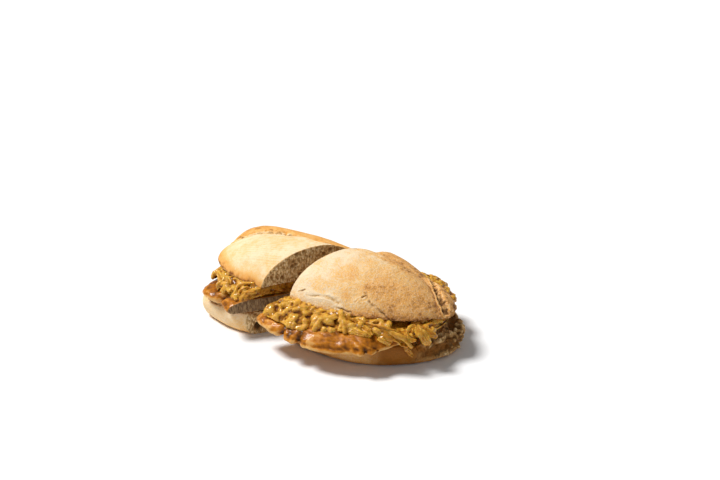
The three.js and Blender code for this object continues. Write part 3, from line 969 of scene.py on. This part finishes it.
def steak(half, settings):
    """One half of the steak, folded and browned."""
    shape = half["steak"]
    left = half["side"] < 0
    half_thick = STEAK["thickness"] / 2

    def middle(x, y, s, edge):
        ripple = np.sin(math.tau * x / STEAK["pitch"][0]) * np.cos(math.tau * y / STEAK["pitch"][1])
        level = STEAK["rest"] + STEAK["ripple"] * ripple
        return level + (edge - level) * s ** STEAK["settle"]

    def over(x, y, s, edge):
        return middle(x, y, s, edge) + half_thick * np.sqrt(1 - s ** STEAK["edge_sharpness"])

    def under(x, y, s, edge):
        return middle(x, y, s, edge) - half_thick * np.sqrt(1 - s ** STEAK["edge_sharpness"])

    piece, places, normals = cut_piece(
        "steak_meat", half, [(shape, over, under)], shape["cut"], STEAK, settings.grain
    )
    rough = Rough(places, seed_of(half, "steak"))
    cut = cut_mask(places, normals, shape["cut"], half["side"])
    skin = 1 - cut
    outer = smoothstep(Rim(shape).share(places)[0], 0.86, 0.97)
    folds = 1 - np.abs(rough(9, 2, 2, (0.8, 1.3, 1.3)))
    strands = rough(1.6, 3, 2, (0.35, 1, 1))
    layers = np.sin(places[:, 2] * 1.5 + 3.2 * rough(11, 8))
    relief = 0.85 * rough(8, 1, 3) + 1.1 * (folds - 0.8) * (0.4 + outer)
    out = skin * (relief + 0.22 * strands + 0.2 * outer * layers)
    for angle, spread, _ in shape["bulges"]:
        if spread < NARROW_NOTCH:
            rim = rim_at(shape, np.radians([angle]))[0]
            end = rim + 0.3 * (np.array([*shape["centre"], rim[2]]) - rim)
            away, way = line_distance(places * FLATTENED, [rim * FLATTENED, end * FLATTENED])
            away += 0.6 * rough(3, 9)
            out -= skin * 2.4 * (1 - way) * bell(away, 1.5)
            out += skin * 0.7 * (1 - way) * bell(away - 4, 2)
    out += cut * 0.35 * rough(1.4, 4, 2, (1, 1, 0.35))
    places += normals * out[:, None]

    hollow = hollowness(piece, places, normals, 6)
    facing = smoothstep(normals[:, 2], -0.1, 0.6)
    sear = (0.58 if left else 0.48) + 0.58 * rough(9, 5, 3) + 0.14 * facing
    # Painted shade: the meat is darker in its hollows and less dark where it stands proud.
    sear += np.clip(hollow, -0.25, 0.4) * 1.3
    pale = smoothstep(np.abs(rough(10, 6)), 0.12, 0.0) * outer
    sear -= 0.25 * pale + 0.16 * outer * (1 - facing)
    spot, radius = CHARRED[half["name"]]
    char = np.linalg.norm(places - spot, axis=1) + 0.8 * rough(2, 7)
    sear += 0.9 * smoothstep(char, 1.3 * radius, 0.6 * radius)
    return [(piece, places, {"sear": np.clip(sear, 0, 1), "inside": cut})]


# ---------------------------------------------------------------- onions


class Heap:
    """The outside of a heap of onions."""

    def __init__(self, half):
        self.rim = Rim(half["onions"])
        self.plane = half["top_bread"]["plane"]
        self.covers = [Rim(swelling) for swelling in half["top_bread"]["swellings"]]
        self.knife = kept_side(half["onions"]["cut"], half["side"])

    def shelter(self, points):
        """How far out of the bread above places lie: 0 in its middle, 1 at its lip and more beyond."""
        return np.min([cover.share(points)[0] for cover in self.covers], axis=0)

    def spots(self, random, count, deepest):
        """Places that the bread doesn't hide: shares of the way round, distances in from the rim and lifts."""
        along = random.random(12 * count)
        inward = random.uniform(1.5, deepest, 12 * count)
        points = self.places(along, inward)
        shelter = self.shelter(points)
        place, kept = self.knife
        x, y = points[:, 0], points[:, 1]
        # At the front of the right half a dark gap shows under the lip.
        gap = (np.abs(x - 64) < 8) & (y < -40) & (shelter < 1.1)
        shown = (shelter > 0.88) | (inward < 4)
        seen = np.flatnonzero(shown & ((points - place) @ kept > 0) & ~gap)[:count]
        lift = 1.6 * smoothstep(shelter, 1.25, 1.0) + 1.0 * noise(points, 13, 5)
        lift -= 3.5 * smoothstep(x, 68, 88) * smoothstep(y, -50, -40)
        return zip(along[seen], inward[seen], lift[seen])

    def height(self, x, s, edge):
        """The heap's height at shares of the way to its rim."""
        flat, tip_height, fall = self.plane
        crown = flat + (tip_height - flat) * smoothstep(x, *fall) - ONIONS["clearance"]
        rise = (crown - ONIONS["shoulder_drop"] - edge) * (1 - s ** ONIONS["slope"]) ** ONIONS["fullness"]
        return edge + rise + ONIONS["shoulder_drop"] * (1 - smoothstep(s, *ONIONS["shoulder"]))

    def places(self, along, inward):
        """Places at shares of the way round, some millimetres in from the rim or, below 0, down its side."""
        rim = self.rim.along(along)
        centre = np.column_stack([np.tile(self.rim.centre, (len(rim), 1)), rim[:, 2]])
        s = np.minimum(1, 1 - inward / np.linalg.norm(rim - centre, axis=1))
        point = centre + s[:, None] * (rim - centre)
        point[:, 2] = self.height(point[:, 0], s, rim[:, 2]) + np.minimum(0, inward)
        return point

    def normals(self, along, inward):
        """The directions in which the heap faces at such places."""
        length = self.rim.way[-1]
        here = self.places(along, inward)
        sideways = self.places(along + 1 / length, inward) - here
        upwards = self.places(along, inward + 1) - here
        return unit(np.cross(sideways, upwards))


# A strip's sizes: its width and thickness, how far it is cupped, the ridges along it, its tone from brown to
# pale, its twist in radians and how blunt its ends are.
STRIP_SIZES = ("width", "thickness", "cup", "ridges", "tone", "twist", "blunt")
# How many places along and across a lump and a strip are worked out.
LUMP_GRID = (13, 7)
STRIP_GRID = (33, 17)
# How near a strip comes to the knife's plane, and how far inside it the bed of a heap ends.
KNIFE_GAP = 0.3
BED_INSET = 3.2
# How strips that stand out are bent: the size of the noise and its reach.
BENDS = ((4.5, 1.2), (1.8, 0.45))
# How deep into a heap strips lie at most, and how much of a strip's length its width may be.
DEEPEST = 24
BROADEST = 0.6
# Both ends of what is drawn at random for each lump in a heap, in this order.
LUMP_RANGES = {
    "heading": (-math.pi, math.pi),
    "curl": (-0.2, 0.2),
    "length": (4.5, 9),
    "hang": (0, 1),
    "lift": (-1.0, 0.7),
    "wave": (0, 0.7),
    "waves": (0.5, 1.5),
    "phase": (0, 1),
    "tilt": (-0.9, 0.9),
    "width": (4.5, 8.0),
    "thickness": (2.4, 4.0),
    "cup": (-1.2, 0.1),
    "ridges": (1, 4),
    "tone": (0.15, 0.95),
    "twist": (-1, 1),
    "blunt": (0.7, 1.0),
}


def strip_ranges(settings):
    """The same for the short strips on top, whose lengths are drawn first."""
    length = {"length": (settings.shortest, settings.longest)}
    return length | {name: LUMP_RANGES[name] for name in LUMP_RANGES if name != "length"} | {
        "curl": (-0.15, 0.15),
        "hang": (0, 2),
        "lift": (0.2, 1.6),
        "wave": (0, 0.8),
        "tilt": (-0.7, 0.7),
        "width": (settings.narrowest, settings.widest),
        "thickness": (1.8, 2.8),
        "cup": (-1.2, 1.2),
        "ridges": (2, 5),
        "tone": (0.4, 1.0),
        "twist": (-1.2, 1.2),
        "blunt": (0.6, 0.95),
    }


def draw_strip(random, ranges, along, inward, lift):
    """Draws a strip's sizes at random. Its ridges are whole and its tilt has three parts."""
    spec = {"along": along, "inward": inward}
    for name, (low, high) in ranges.items():
        if name == "ridges":
            spec[name] = random.integers(low, high)
        else:
            spec[name] = random.uniform(low, high, 3 if name == "tilt" else None)
    spec["lift"] += lift
    return spec


class Strips:
    """Strips of onion, gathered into one mesh."""

    def __init__(self, half, sections, across):
        self.place, self.inward = kept_side(half["onions"]["cut"], half["side"])
        self.sections = sections
        self.across = across
        self.points = []
        self.faces = []
        self.tone = []
        self.vein = []
        self.count = 0

    def add(self, line, facing, width, thickness, cup, ridges, tone, twist, blunt):
        """Adds a strip along a line whose flat side faces some way, cupped across and ridged lengthwise."""
        sections, across = self.sections, self.across
        way = np.linspace(0, 1, sections)
        forward = unit(np.gradient(line, axis=0))
        sideways = unit(np.cross(forward, facing))
        up = np.cross(sideways, forward)
        roll = twist * (way - 0.5)
        c, s = np.cos(roll)[:, None], np.sin(roll)[:, None]
        sideways, up = c * sideways + s * up, c * up - s * sideways
        taper = blunt + (1 - blunt) * np.sin(math.pi * way) ** 0.6
        u = np.linspace(-1, 1, across)
        body = np.sqrt(np.maximum(0, 1 - u**6)) * 0.5 * thickness
        ridge = 0.15 * thickness * np.cos(math.pi * u * ridges) * (1 - u * u)
        lift = cup * (u * u - 0.4)
        offset = np.concatenate([u, u[-2:0:-1]])
        rise = np.concatenate([lift + body + ridge, (lift - body)[-2:0:-1]])
        rise[0] = lift[0]
        rise[across - 1] = lift[-1]
        ring = len(offset)
        thin = 0.4 + 0.6 * np.sin(math.pi * np.clip(way, 0.03, 0.97)) ** 0.5
        points = (
            line[:, None, :]
            + (offset * width / 2)[None, :, None] * (taper[:, None] * sideways)[:, None, :]
            + rise[None, :, None] * (thin[:, None] * up)[:, None, :]
        ).reshape(-1, 3)
        away = (points - self.place) @ self.inward
        points += np.maximum(0, KNIFE_GAP - away)[:, None] * self.inward
        start = self.count
        for k in range(sections - 1):
            for j in range(ring):
                a = start + k * ring + j
                b = start + k * ring + (j + 1) % ring
                self.faces.append((a, b, b + ring, a + ring))
        self.faces.append(tuple(start + j for j in range(ring))[::-1])
        self.faces.append(tuple(start + (sections - 1) * ring + j for j in range(ring)))
        self.points.append(points)
        # Painted light: each strip is paler towards its thin edges, as if light shone through them, and darker
        # along its middle.
        self.tone.append(np.tile(tone + 0.3 * offset**2 - 0.15, sections))
        self.vein.append(np.tile(offset * ridges * math.pi, sections))
        self.count += len(points)

    def laid(self, heap, spec):
        """Adds a strip that lies on a heap."""
        sections = self.sections
        way = np.linspace(-0.5, 0.5, sections)
        heading = spec["heading"] + spec["curl"] * way * spec["length"]
        step = spec["length"] / (sections - 1)
        along = spec["along"] + np.cumsum(np.cos(heading)) * step / heap.rim.way[-1]
        inward = np.maximum(-spec["hang"], spec["inward"] + np.cumsum(np.sin(heading)) * step)
        facing = heap.normals(along, inward)
        wave = spec["lift"] + spec["wave"] * np.sin(math.tau * (way * spec["waves"] + spec["phase"]))
        line = heap.places(along, inward) + facing * wave[:, None]
        facing = unit(facing + spec["tilt"])
        self.add(line, facing, *(spec[name] for name in STRIP_SIZES))


def curve_through(points, count):
    """A smooth line through some places."""
    points = np.array(points, float)
    padded = np.vstack([2 * points[0] - points[1], points, 2 * points[-1] - points[-2]])
    t = np.linspace(0, len(points) - 1 - 1e-6, count)
    k = t.astype(int)
    f = (t - k)[:, None]
    a, b, c, d = (padded[k + j] for j in range(4))
    return 0.5 * (2 * b + (c - a) * f + (2 * a - 5 * b + 4 * c - d) * f**2 + (3 * b - a - 3 * c + d) * f**3)


# The pieces of onion that stand out: their sizes, the way they face and a line through their middle.
HERO_STRIPS = {
    "left": [
        ((2.1, 2.2, 0.2, 1, 0.95, 0.0, 0.8), (0.35, -0.75, 0.6), [
            (-44, -65, 37.6), (-49, -65.9, 36.2), (-53, -67.4, 34.6), (-55, -70.5, 32.6),
            (-54.6, -73.5, 29.4), (-51.5, -77, 27.4),
        ]),
        ((1.9, 2.0, 0.2, 1, 0.85, 0.0, 0.8), (0.35, -0.75, 0.6), [
            (-40.5, -64.5, 32.6), (-45.5, -66.5, 33.8), (-49.3, -69, 33.6), (-51, -72, 31.6),
            (-50.8, -73.6, 29.6),
        ]),
        ((2.0, 2, 0.2, 1, 0.75, 0.0, 0.8), (0.35, -0.75, 0.6), [
            (-39.7, -69, 31.6), (-43.5, -70.3, 32.8), (-47.2, -71.4, 31.8), (-48.6, -73, 29.6),
        ]),
        ((4.2, 2.6, -0.6, 2, 1.0, 0.8, 0.6), (0.1, -0.75, 0.6), [
            (-82, -58, 32), (-78, -60, 32.6), (-74.3, -63.5, 31), (-72.5, -67.5, 28.4),
        ]),
        ((5, 2.6, -0.5, 2, 0.8, 0.0, 0.5), (0.3, -0.75, 0.6), [
            (-70, -61, 33), (-66, -65, 32.6), (-63, -69.5, 30),
        ]),
    ],
    "right": [
        ((7.5, 2.0, 1.4, 3, 0.5, 1.3, 0.5), (0.45, -0.8, 0.4), [
            (45.4, -65.8, 31), (51.5, -66, 30.4), (59.3, -65.8, 29.6), (66.2, -63.6, 27),
            (71, -60, 22.6), (73.4, -57, 19),
        ]),
        ((3.4, 1.6, 0.2, 1, 0.75, 1.2, 0.7), (0.5, -0.7, 0.5), [
            (60, -65, 31), (66, -64.4, 29), (71.5, -62.2, 26.5), (75.3, -60.3, 23),
            (76.4, -59.3, 19.6), (73.4, -57.6, 17.4),
        ]),
        ((3.4, 1.4, 0.4, 2, 0.6, 0.8, 0.5), (0.6, -0.75, 0.1), [
            (70.5, -57.4, 18), (71.6, -56.4, 14.4), (73, -55.6, 11.6), (75, -54, 9.6),
        ]),
        ((4.6, 3, -0.6, 1, 1.0, 0.0, 0.8), (0.45, -0.8, 0.4), [
            (52, -67.8, 30.4), (54.6, -67.6, 29.6), (57, -66.4, 27.4),
        ]),
        ((5, 3, -0.6, 2, 0.9, 0.0, 0.8), (0.45, -0.8, 0.4), [
            (56.5, -68, 25.6), (60, -67, 24.2), (64, -65.6, 22),
        ]),
        ((5, 2.2, -0.8, 4, 0.95, 0.0, 0.25), (0.3, -0.8, 0.5), [
            (31.5, -72.6, 29), (38, -72.9, 28), (45.5, -72.2, 26.6), (52, -70.2, 25.6),
        ]),
        ((4.5, 1.8, -0.8, 3, 0.8, 0.0, 0.3), (0.3, -0.8, 0.5), [
            (33.5, -67, 32.6), (40, -67, 31), (46.4, -68, 28.8), (52, -69.8, 26),
        ]),
        ((6.5, 2.0, -0.6, 4, 0.8, 0.0, 0.5), (0.7, -0.7, 0.2), [
            (75, -51.5, 30.5), (79.5, -52, 27), (83, -51, 22.5), (84, -49, 18.6),
        ]),
        ((5, 2.0, -0.5, 3, 0.55, 0.0, 0.5), (0.7, -0.7, 0.2), [
            (79, -48.5, 30), (84, -47.5, 26.5), (87, -45, 22.6),
        ]),
        ((2.4, 1.4, 0.2, 1, 0.8, 0.6, 0.8), (0.75, -0.5, 0.5), [
            (74, -50, 31), (71.6, -53.5, 30.2), (72.4, -58, 28.6), (75, -59, 25.4),
            (78.5, -56.5, 24),
        ]),
    ],
}


def line_the_cut(lumps, heap, random, count):
    """Adds the lumps that the knife went through, which line the cut."""
    place, kept = heap.knife
    plane_way = np.cross(kept, (0, 0, 1))
    bed = ONIONS["bed"]
    for _ in range(count):
        centre = place + plane_way * random.uniform(-90, 90) + kept * random.uniform(1.9, 3.4)
        share, edge = heap.rim.share(centre[None])
        if share[0] > 0.97:
            continue
        top = max(bed + 1, heap.height(centre[:1], share, edge)[0])
        centre[2] = random.uniform(bed + 0.8, top)
        turn = random.uniform(-0.7, 0.7)
        length = random.uniform(3, 8)
        heading = math.cos(turn) * plane_way + math.sin(turn) * np.array([0, 0, 1])
        line = centre + np.linspace(-0.5, 0.5, lumps.sections)[:, None] * length * heading
        line[:, 2] = np.clip(line[:, 2], bed + 0.5, top)
        lumps.add(
            line,
            unit(np.tile(random.uniform(-0.7, 0.7, 3) - kept, (lumps.sections, 1))),
            width=random.uniform(2.5, 5),
            thickness=random.uniform(1.8, 3.0),
            cup=random.uniform(-0.8, 0.8),
            ridges=random.integers(1, 4),
            # Lumps lining the cut are darker, as painted shade on the heap's cut face.
            tone=random.uniform(0.1, 0.6),
            twist=random.uniform(-1, 1),
            blunt=random.uniform(0.5, 0.9),
        )


def onion_core(half, settings):
    """The heap itself: a bed with lumps and short strips melted into it."""
    left = half["side"] < 0
    shape = half["onions"]
    seed = seed_of(half, "onions")
    heap = Heap(half)

    def over(x, y, s, edge):
        return heap.height(x, s, edge) - settings.sink

    def under(x, y, s, edge):
        bed = ONIONS["bed"] - 1
        return bed + (edge - settings.sink - bed) * s ** ONIONS["bed_reach"]

    random = np.random.default_rng(seed)
    mesh = bmesh.new()
    shell(mesh, shape, over, under, rings_to(ONIONS["edge_rings"]))
    slice_off(mesh, shape["cut"], half["side"], BED_INSET)
    lumps = Strips(half, *LUMP_GRID)
    count = settings.left_lumps if left else settings.right_lumps
    for spot in heap.spots(random, count, DEEPEST):
        lumps.laid(heap, draw_strip(random, LUMP_RANGES, *spot))
    line_the_cut(lumps, heap, random, settings.cut_lumps)
    count = settings.left_count if left else settings.right_count
    for spot in heap.spots(random, count, DEEPEST):
        spec = draw_strip(random, strip_ranges(settings), *spot)
        spec["width"] = min(BROADEST * spec["length"], spec["width"])
        lumps.laid(heap, spec)
    lump_points = np.vstack(lumps.points)
    corners = [mesh.verts.new(point) for point in lump_points]
    for face in lumps.faces:
        mesh.faces.new([corners[k] for k in face])
    core = fine_mesh(f"{half['name']}_onion_core", mesh, settings.core_grain)
    places, normals = places_of(core)
    places = smoothed(core, places, 2)

    # Chunks: each cell of a warped pattern swells a little and has a tone of its own.
    warp = noise_vectors(places, 5, range(seed + 21, seed + 24), 2)
    away, number = cells((places + 2.2 * warp) * (0.75, 1, 1.2), 4.6, seed + 30)
    out = 0.4 - away * away * (0.6 + 0.8 * number) + 0.35 * noise(places, 2.6, seed + 2, 3)
    places += normals * out[:, None]
    tree = tree_of(lump_points)
    nearest = np.array([tree.find(point)[1] for point in places])
    hollow = hollowness(core, places, normals, 6)
    gaps = hollowness(core, places, normals, 30)
    tone = 0.5 * np.concatenate(lumps.tone)[nearest] + 0.3 + 0.5 * (number - 0.5)
    # Painted shade: the onion is darker in small hollows and in the gaps between lumps.
    tone -= 0.8 * np.clip(hollow, -0.15, 0.45) + 1.2 * np.clip(gaps, -0.3, 1.0)
    place, kept = heap.knife
    # Painted shade: darker towards the right-hand end and on the face that the knife left.
    tone -= 0.25 * smoothstep(places[:, 0], 45, 75) + 0.4 * smoothstep((places - place) @ kept, 3.5, 1.5)
    return core, places, {"tone": np.clip(tone, 0, 1), "vein": np.concatenate(lumps.vein)[nearest]}


def onion_strips(half):
    """The strips that stand out from the heap, bent a little."""
    strips = Strips(half, *STRIP_GRID)
    for sizes, facing, line in HERO_STRIPS[half["name"]]:
        facing = unit(np.tile(np.array(facing, float), (strips.sections, 1)))
        strips.add(curve_through(line, strips.sections), facing, *sizes)
    points = np.vstack(strips.points)
    first = seed_of(half, "onions") + 11
    for size, amount in BENDS:
        points += amount * noise_vectors(points, size, range(first, first + 3), 2)
    name = f"{half['name']}_onion_strips"
    data = bpy.data.meshes.new(name)
    data.from_pydata(points.tolist(), [], strips.faces)
    masks = {"tone": np.concatenate(strips.tone), "vein": np.concatenate(strips.vein)}
    return new_object(name, data), points, masks


def onions(half, settings):
    """A heap of onions: its core and the strips that stand out."""
    core = onion_core(half, settings)
    return [onion_strips(half), core]


# ---------------------------------------------------------------- settings


def colour_property(name, description, default):
    return bpy.props.FloatVectorProperty(
        name=name,
        description=description,
        default=default,
        size=3,
        min=0,
        max=1,
        subtype="COLOR",
    )


def number_property(name, description, default, low, high):
    return bpy.props.FloatProperty(name=name, description=description, default=default, min=low, max=high)


def count_property(name, description, default):
    return bpy.props.IntProperty(name=name, description=description, default=default, min=1)


class BreadSettings(bpy.types.PropertyGroup):
    """Sizes, in millimetres, and colours of the bread."""

    grain: number_property("Mesh size", "Length of the lower breads' edges, in mm", 0.65, 0.3, 3)
    crust_grain: number_property("Crust mesh size", "Length of the upper breads' edges, in mm", 0.52, 0.3, 3)
    pores: number_property("Pore size", "Size of the crumb's pores, as a share of the usual", 1.0, 0.2, 3)
    flour: colour_property("Flour", "Colour of the flour on the crust", (0.84, 0.66, 0.48))
    cream: colour_property("Pale crust", "Colour where the crust is least baked", (0.90, 0.72, 0.46))
    tan: colour_property("Tan crust", "Colour where the crust is lightly baked", (0.85, 0.50, 0.165))
    golden: colour_property("Golden crust", "Colour where the crust is golden", (0.80, 0.38, 0.085))
    dark: colour_property("Brown crust", "Colour where the crust is brown", (0.27, 0.095, 0.02))
    crumb: colour_property("Crumb", "Colour of the crumb", (0.95, 0.70, 0.36))
    # Painted shade: the colour in the crumb's pores and hollows, under torn crust and between its fibres.
    crumb_shade: colour_property("Crumb pockets", "Colour inside the crumb's pores", (0.42, 0.23, 0.08))
    juice: colour_property("Juices", "Colour of bread that is soaked with juices", (0.30, 0.105, 0.01))


class SteakSettings(bpy.types.PropertyGroup):
    """Sizes, in millimetres, and colours of the steak."""

    grain: number_property("Mesh size", "Length of the mesh's edges, in millimetres", 0.65, 0.3, 3)
    fat: colour_property("Fat", "Colour of fat and pale edges", (0.74, 0.42, 0.13))
    browned: colour_property("Browned meat", "Colour of browned meat", (0.55, 0.19, 0.012))
    seared: colour_property("Seared meat", "Colour of darkly seared meat", (0.27, 0.085, 0.006))
    inside: colour_property("Cut meat", "Colour of the meat where it is cut", (0.14, 0.075, 0.03))
    sinew: colour_property("Cut fibres", "Colour of pale fibres where it is cut", (0.38, 0.235, 0.11))


class OnionSettings(bpy.types.PropertyGroup):
    """Sizes, in millimetres, and colours of the onions."""

    core_grain: number_property("Core mesh size", "Length of the core's edges, in millimetres", 0.55, 0.3, 3)
    sink: number_property("Core depth", "How far the core lies under the pieces, in mm", 1.0, 0, 5)
    left_lumps: count_property("Left lumps", "Lumps on the left half", 110)
    right_lumps: count_property("Right lumps", "Lumps on the right half", 190)
    cut_lumps: count_property("Cut lumps", "Lumps tried along each cut", 110)
    left_count: count_property("Left strips", "Strips on the left half", 20)
    right_count: count_property("Right strips", "Strips on the right half", 38)
    shortest: number_property("Shortest strip", "Length of the shortest strip, in millimetres", 6, 2, 60)
    longest: number_property("Longest strip", "Length of the longest strip, in millimetres", 12, 2, 80)
    narrowest: number_property("Narrowest strip", "Width of the narrowest strip, in millimetres", 3.5, 1, 20)
    widest: number_property("Widest strip", "Width of the widest strip, in millimetres", 6, 1, 20)
    pale: colour_property("Pale onion", "Colour of the palest onion", (0.76, 0.42, 0.062))
    golden: colour_property("Golden onion", "Colour of most of the onion", (0.50, 0.215, 0.015))
    # Also the colour of the painted shade in the heap's gaps and hollows.
    brown: colour_property("Brown onion", "Colour of the brownest onion", (0.19, 0.056, 0.002))


class StageSettings(bpy.types.PropertyGroup):
    """Floor, light and camera."""

    floor: colour_property("Floor", "Colour of the floor", (0.9, 0.9, 0.9))
    surroundings: number_property("Surroundings", "Strength of the light from all round", 0.22, 0, 5)
    key: number_property("Key light", "Strength of the main light", 3.6, 0, 100)
    fill: number_property("Fill light", "Strength of the light beside the camera", 0.2, 0, 100)
    lens: number_property("Lens", "Focal length on a 36 mm wide sensor, in millimetres", 70, 10, 300)


# ---------------------------------------------------------------- operators


class StepOperator:
    """What the operators share: each builds its things or raises the error that stopped it."""

    bl_options = {"REGISTER", "UNDO"}

    def execute(self, context):
        self.build(context.scene)
        return {"FINISHED"}


class PieceOperator(StepOperator):
    """Shapes one kind of piece for both halves and gives both the same material."""

    def build(self, scene):
        settings = getattr(scene, self.settings)
        material = self.material(self.material_name, settings)
        for half in HALVES:
            node = f"{half['name']}_{self.kind}"
            for piece, places, masks in self.shape(half, settings):
                finish_piece(piece, places, masks, material, node)


class SANDWICH_OT_bottom_breads(PieceOperator, bpy.types.Operator):
    """Builds the lower bread of both halves"""

    bl_idname = "sandwich.bottom_breads"
    bl_label = "Lower breads"
    kind = "bottom_bread"
    settings = "sandwich_bread"
    material_name = "Lower crust and crumb"
    material = staticmethod(bread_material)
    shape = staticmethod(bottom_bread)


class SANDWICH_OT_steaks(PieceOperator, bpy.types.Operator):
    """Builds both halves of the steak"""

    bl_idname = "sandwich.steaks"
    bl_label = "Steaks"
    kind = "steak"
    settings = "sandwich_steak"
    material_name = "Browned pork"
    material = staticmethod(steak_material)
    shape = staticmethod(steak)


class SANDWICH_OT_onions(PieceOperator, bpy.types.Operator):
    """Builds the onions of both halves"""

    bl_idname = "sandwich.onions"
    bl_label = "Onions"
    kind = "onions"
    settings = "sandwich_onions"
    material_name = "Stewed onion"
    material = staticmethod(onion_material)
    shape = staticmethod(onions)


class SANDWICH_OT_top_breads(PieceOperator, bpy.types.Operator):
    """Builds the upper bread of both halves"""

    bl_idname = "sandwich.top_breads"
    bl_label = "Upper breads"
    kind = "top_bread"
    settings = "sandwich_bread"
    material_name = "Upper crust and crumb"
    material = staticmethod(bread_material)
    shape = staticmethod(top_bread)


CAMERA_PLACE = Vector((0.4580, -0.7219, 0.4794))
CAMERA_LOOK = Vector((-0.4641, 0.7724, -0.4335))
SENSOR_WIDTH = 36
# Where the lamps stand, in metres, and how many degrees of the sky each covers.
KEY_LAMP = ((-0.66, -0.2, 1.1), 18)
FILL_LAMP = ((0.55, -0.75, 0.6), 60)
FLOOR_REACH = 4.0


class SANDWICH_OT_stage(StepOperator, bpy.types.Operator):
    """Builds the floor, the lights and the camera"""

    bl_idname = "sandwich.stage"
    bl_label = "Stage"

    def build(self, scene):
        settings = scene.sandwich_stage
        mesh = bpy.data.meshes.new("floor")
        corners = [(x * FLOOR_REACH, y * FLOOR_REACH, 0) for x, y in ((-1, -1), (1, -1), (1, 1), (-1, 1))]
        mesh.from_pydata(corners, [], [(0, 1, 2, 3)])
        floor = new_object("floor", mesh)
        shader = Shader("Pale floor")
        floor.data.materials.append(shader.finish((*settings.floor, 1), 0.9))

        world = bpy.data.worlds.new("Surroundings")
        world.use_nodes = True
        background = world.node_tree.nodes["Background"]
        background.inputs["Color"].default_value = (1, 1, 1, 1)
        background.inputs["Strength"].default_value = settings.surroundings
        scene.world = world
        self.lamp("Key", *KEY_LAMP, settings.key)
        self.lamp("Fill", *FILL_LAMP, settings.fill)

        camera = new_object("Camera", bpy.data.cameras.new("Camera"))
        camera.data.lens = settings.lens
        camera.data.sensor_width = SENSOR_WIDTH
        camera.location = CAMERA_PLACE
        camera.rotation_euler = CAMERA_LOOK.to_track_quat("-Z", "Y").to_euler()
        scene.camera = camera
        scene.view_settings.view_transform = "Standard"

    def lamp(self, name, place, spread, strength):
        """Adds a lamp that shines on the sandwich."""
        light = bpy.data.lights.new(name, "SUN")
        light.angle = math.radians(spread)
        light.energy = strength
        lamp = new_object(name, light)
        lamp.location = place
        lamp.rotation_euler = (-Vector(place)).to_track_quat("-Z", "Y").to_euler()


PIECES = (SANDWICH_OT_bottom_breads, SANDWICH_OT_steaks, SANDWICH_OT_onions, SANDWICH_OT_top_breads)


class SANDWICH_PT_panel(bpy.types.Panel):
    """Lists the sandwich's operators and settings"""

    bl_idname = "SANDWICH_PT_panel"
    bl_label = "Sandwich"
    bl_space_type = "VIEW_3D"
    bl_region_type = "UI"
    bl_category = "Sandwich"

    def draw(self, context):
        for operator in (*PIECES, SANDWICH_OT_stage):
            self.layout.operator(operator.bl_idname)
        for name in SETTINGS:
            settings = getattr(context.scene, name)
            box = self.layout.box()
            for key in settings.__annotations__:
                box.prop(settings, key)


SETTINGS = {
    "sandwich_bread": BreadSettings,
    "sandwich_steak": SteakSettings,
    "sandwich_onions": OnionSettings,
    "sandwich_stage": StageSettings,
}
CLASSES = (*SETTINGS.values(), *PIECES, SANDWICH_OT_stage, SANDWICH_PT_panel)


def register():
    for item in CLASSES:
        bpy.utils.register_class(item)
    for name, group in SETTINGS.items():
        setattr(bpy.types.Scene, name, bpy.props.PointerProperty(type=group))


def unregister():
    for name in SETTINGS:
        delattr(bpy.types.Scene, name)
    for item in reversed(CLASSES):
        bpy.utils.unregister_class(item)


def main():
    register()
    bpy.ops.sandwich.bottom_breads()
    bpy.ops.sandwich.steaks()
    bpy.ops.sandwich.onions()
    bpy.ops.sandwich.top_breads()
    bpy.ops.sandwich.stage()


if __name__ == "__main__":
    main()
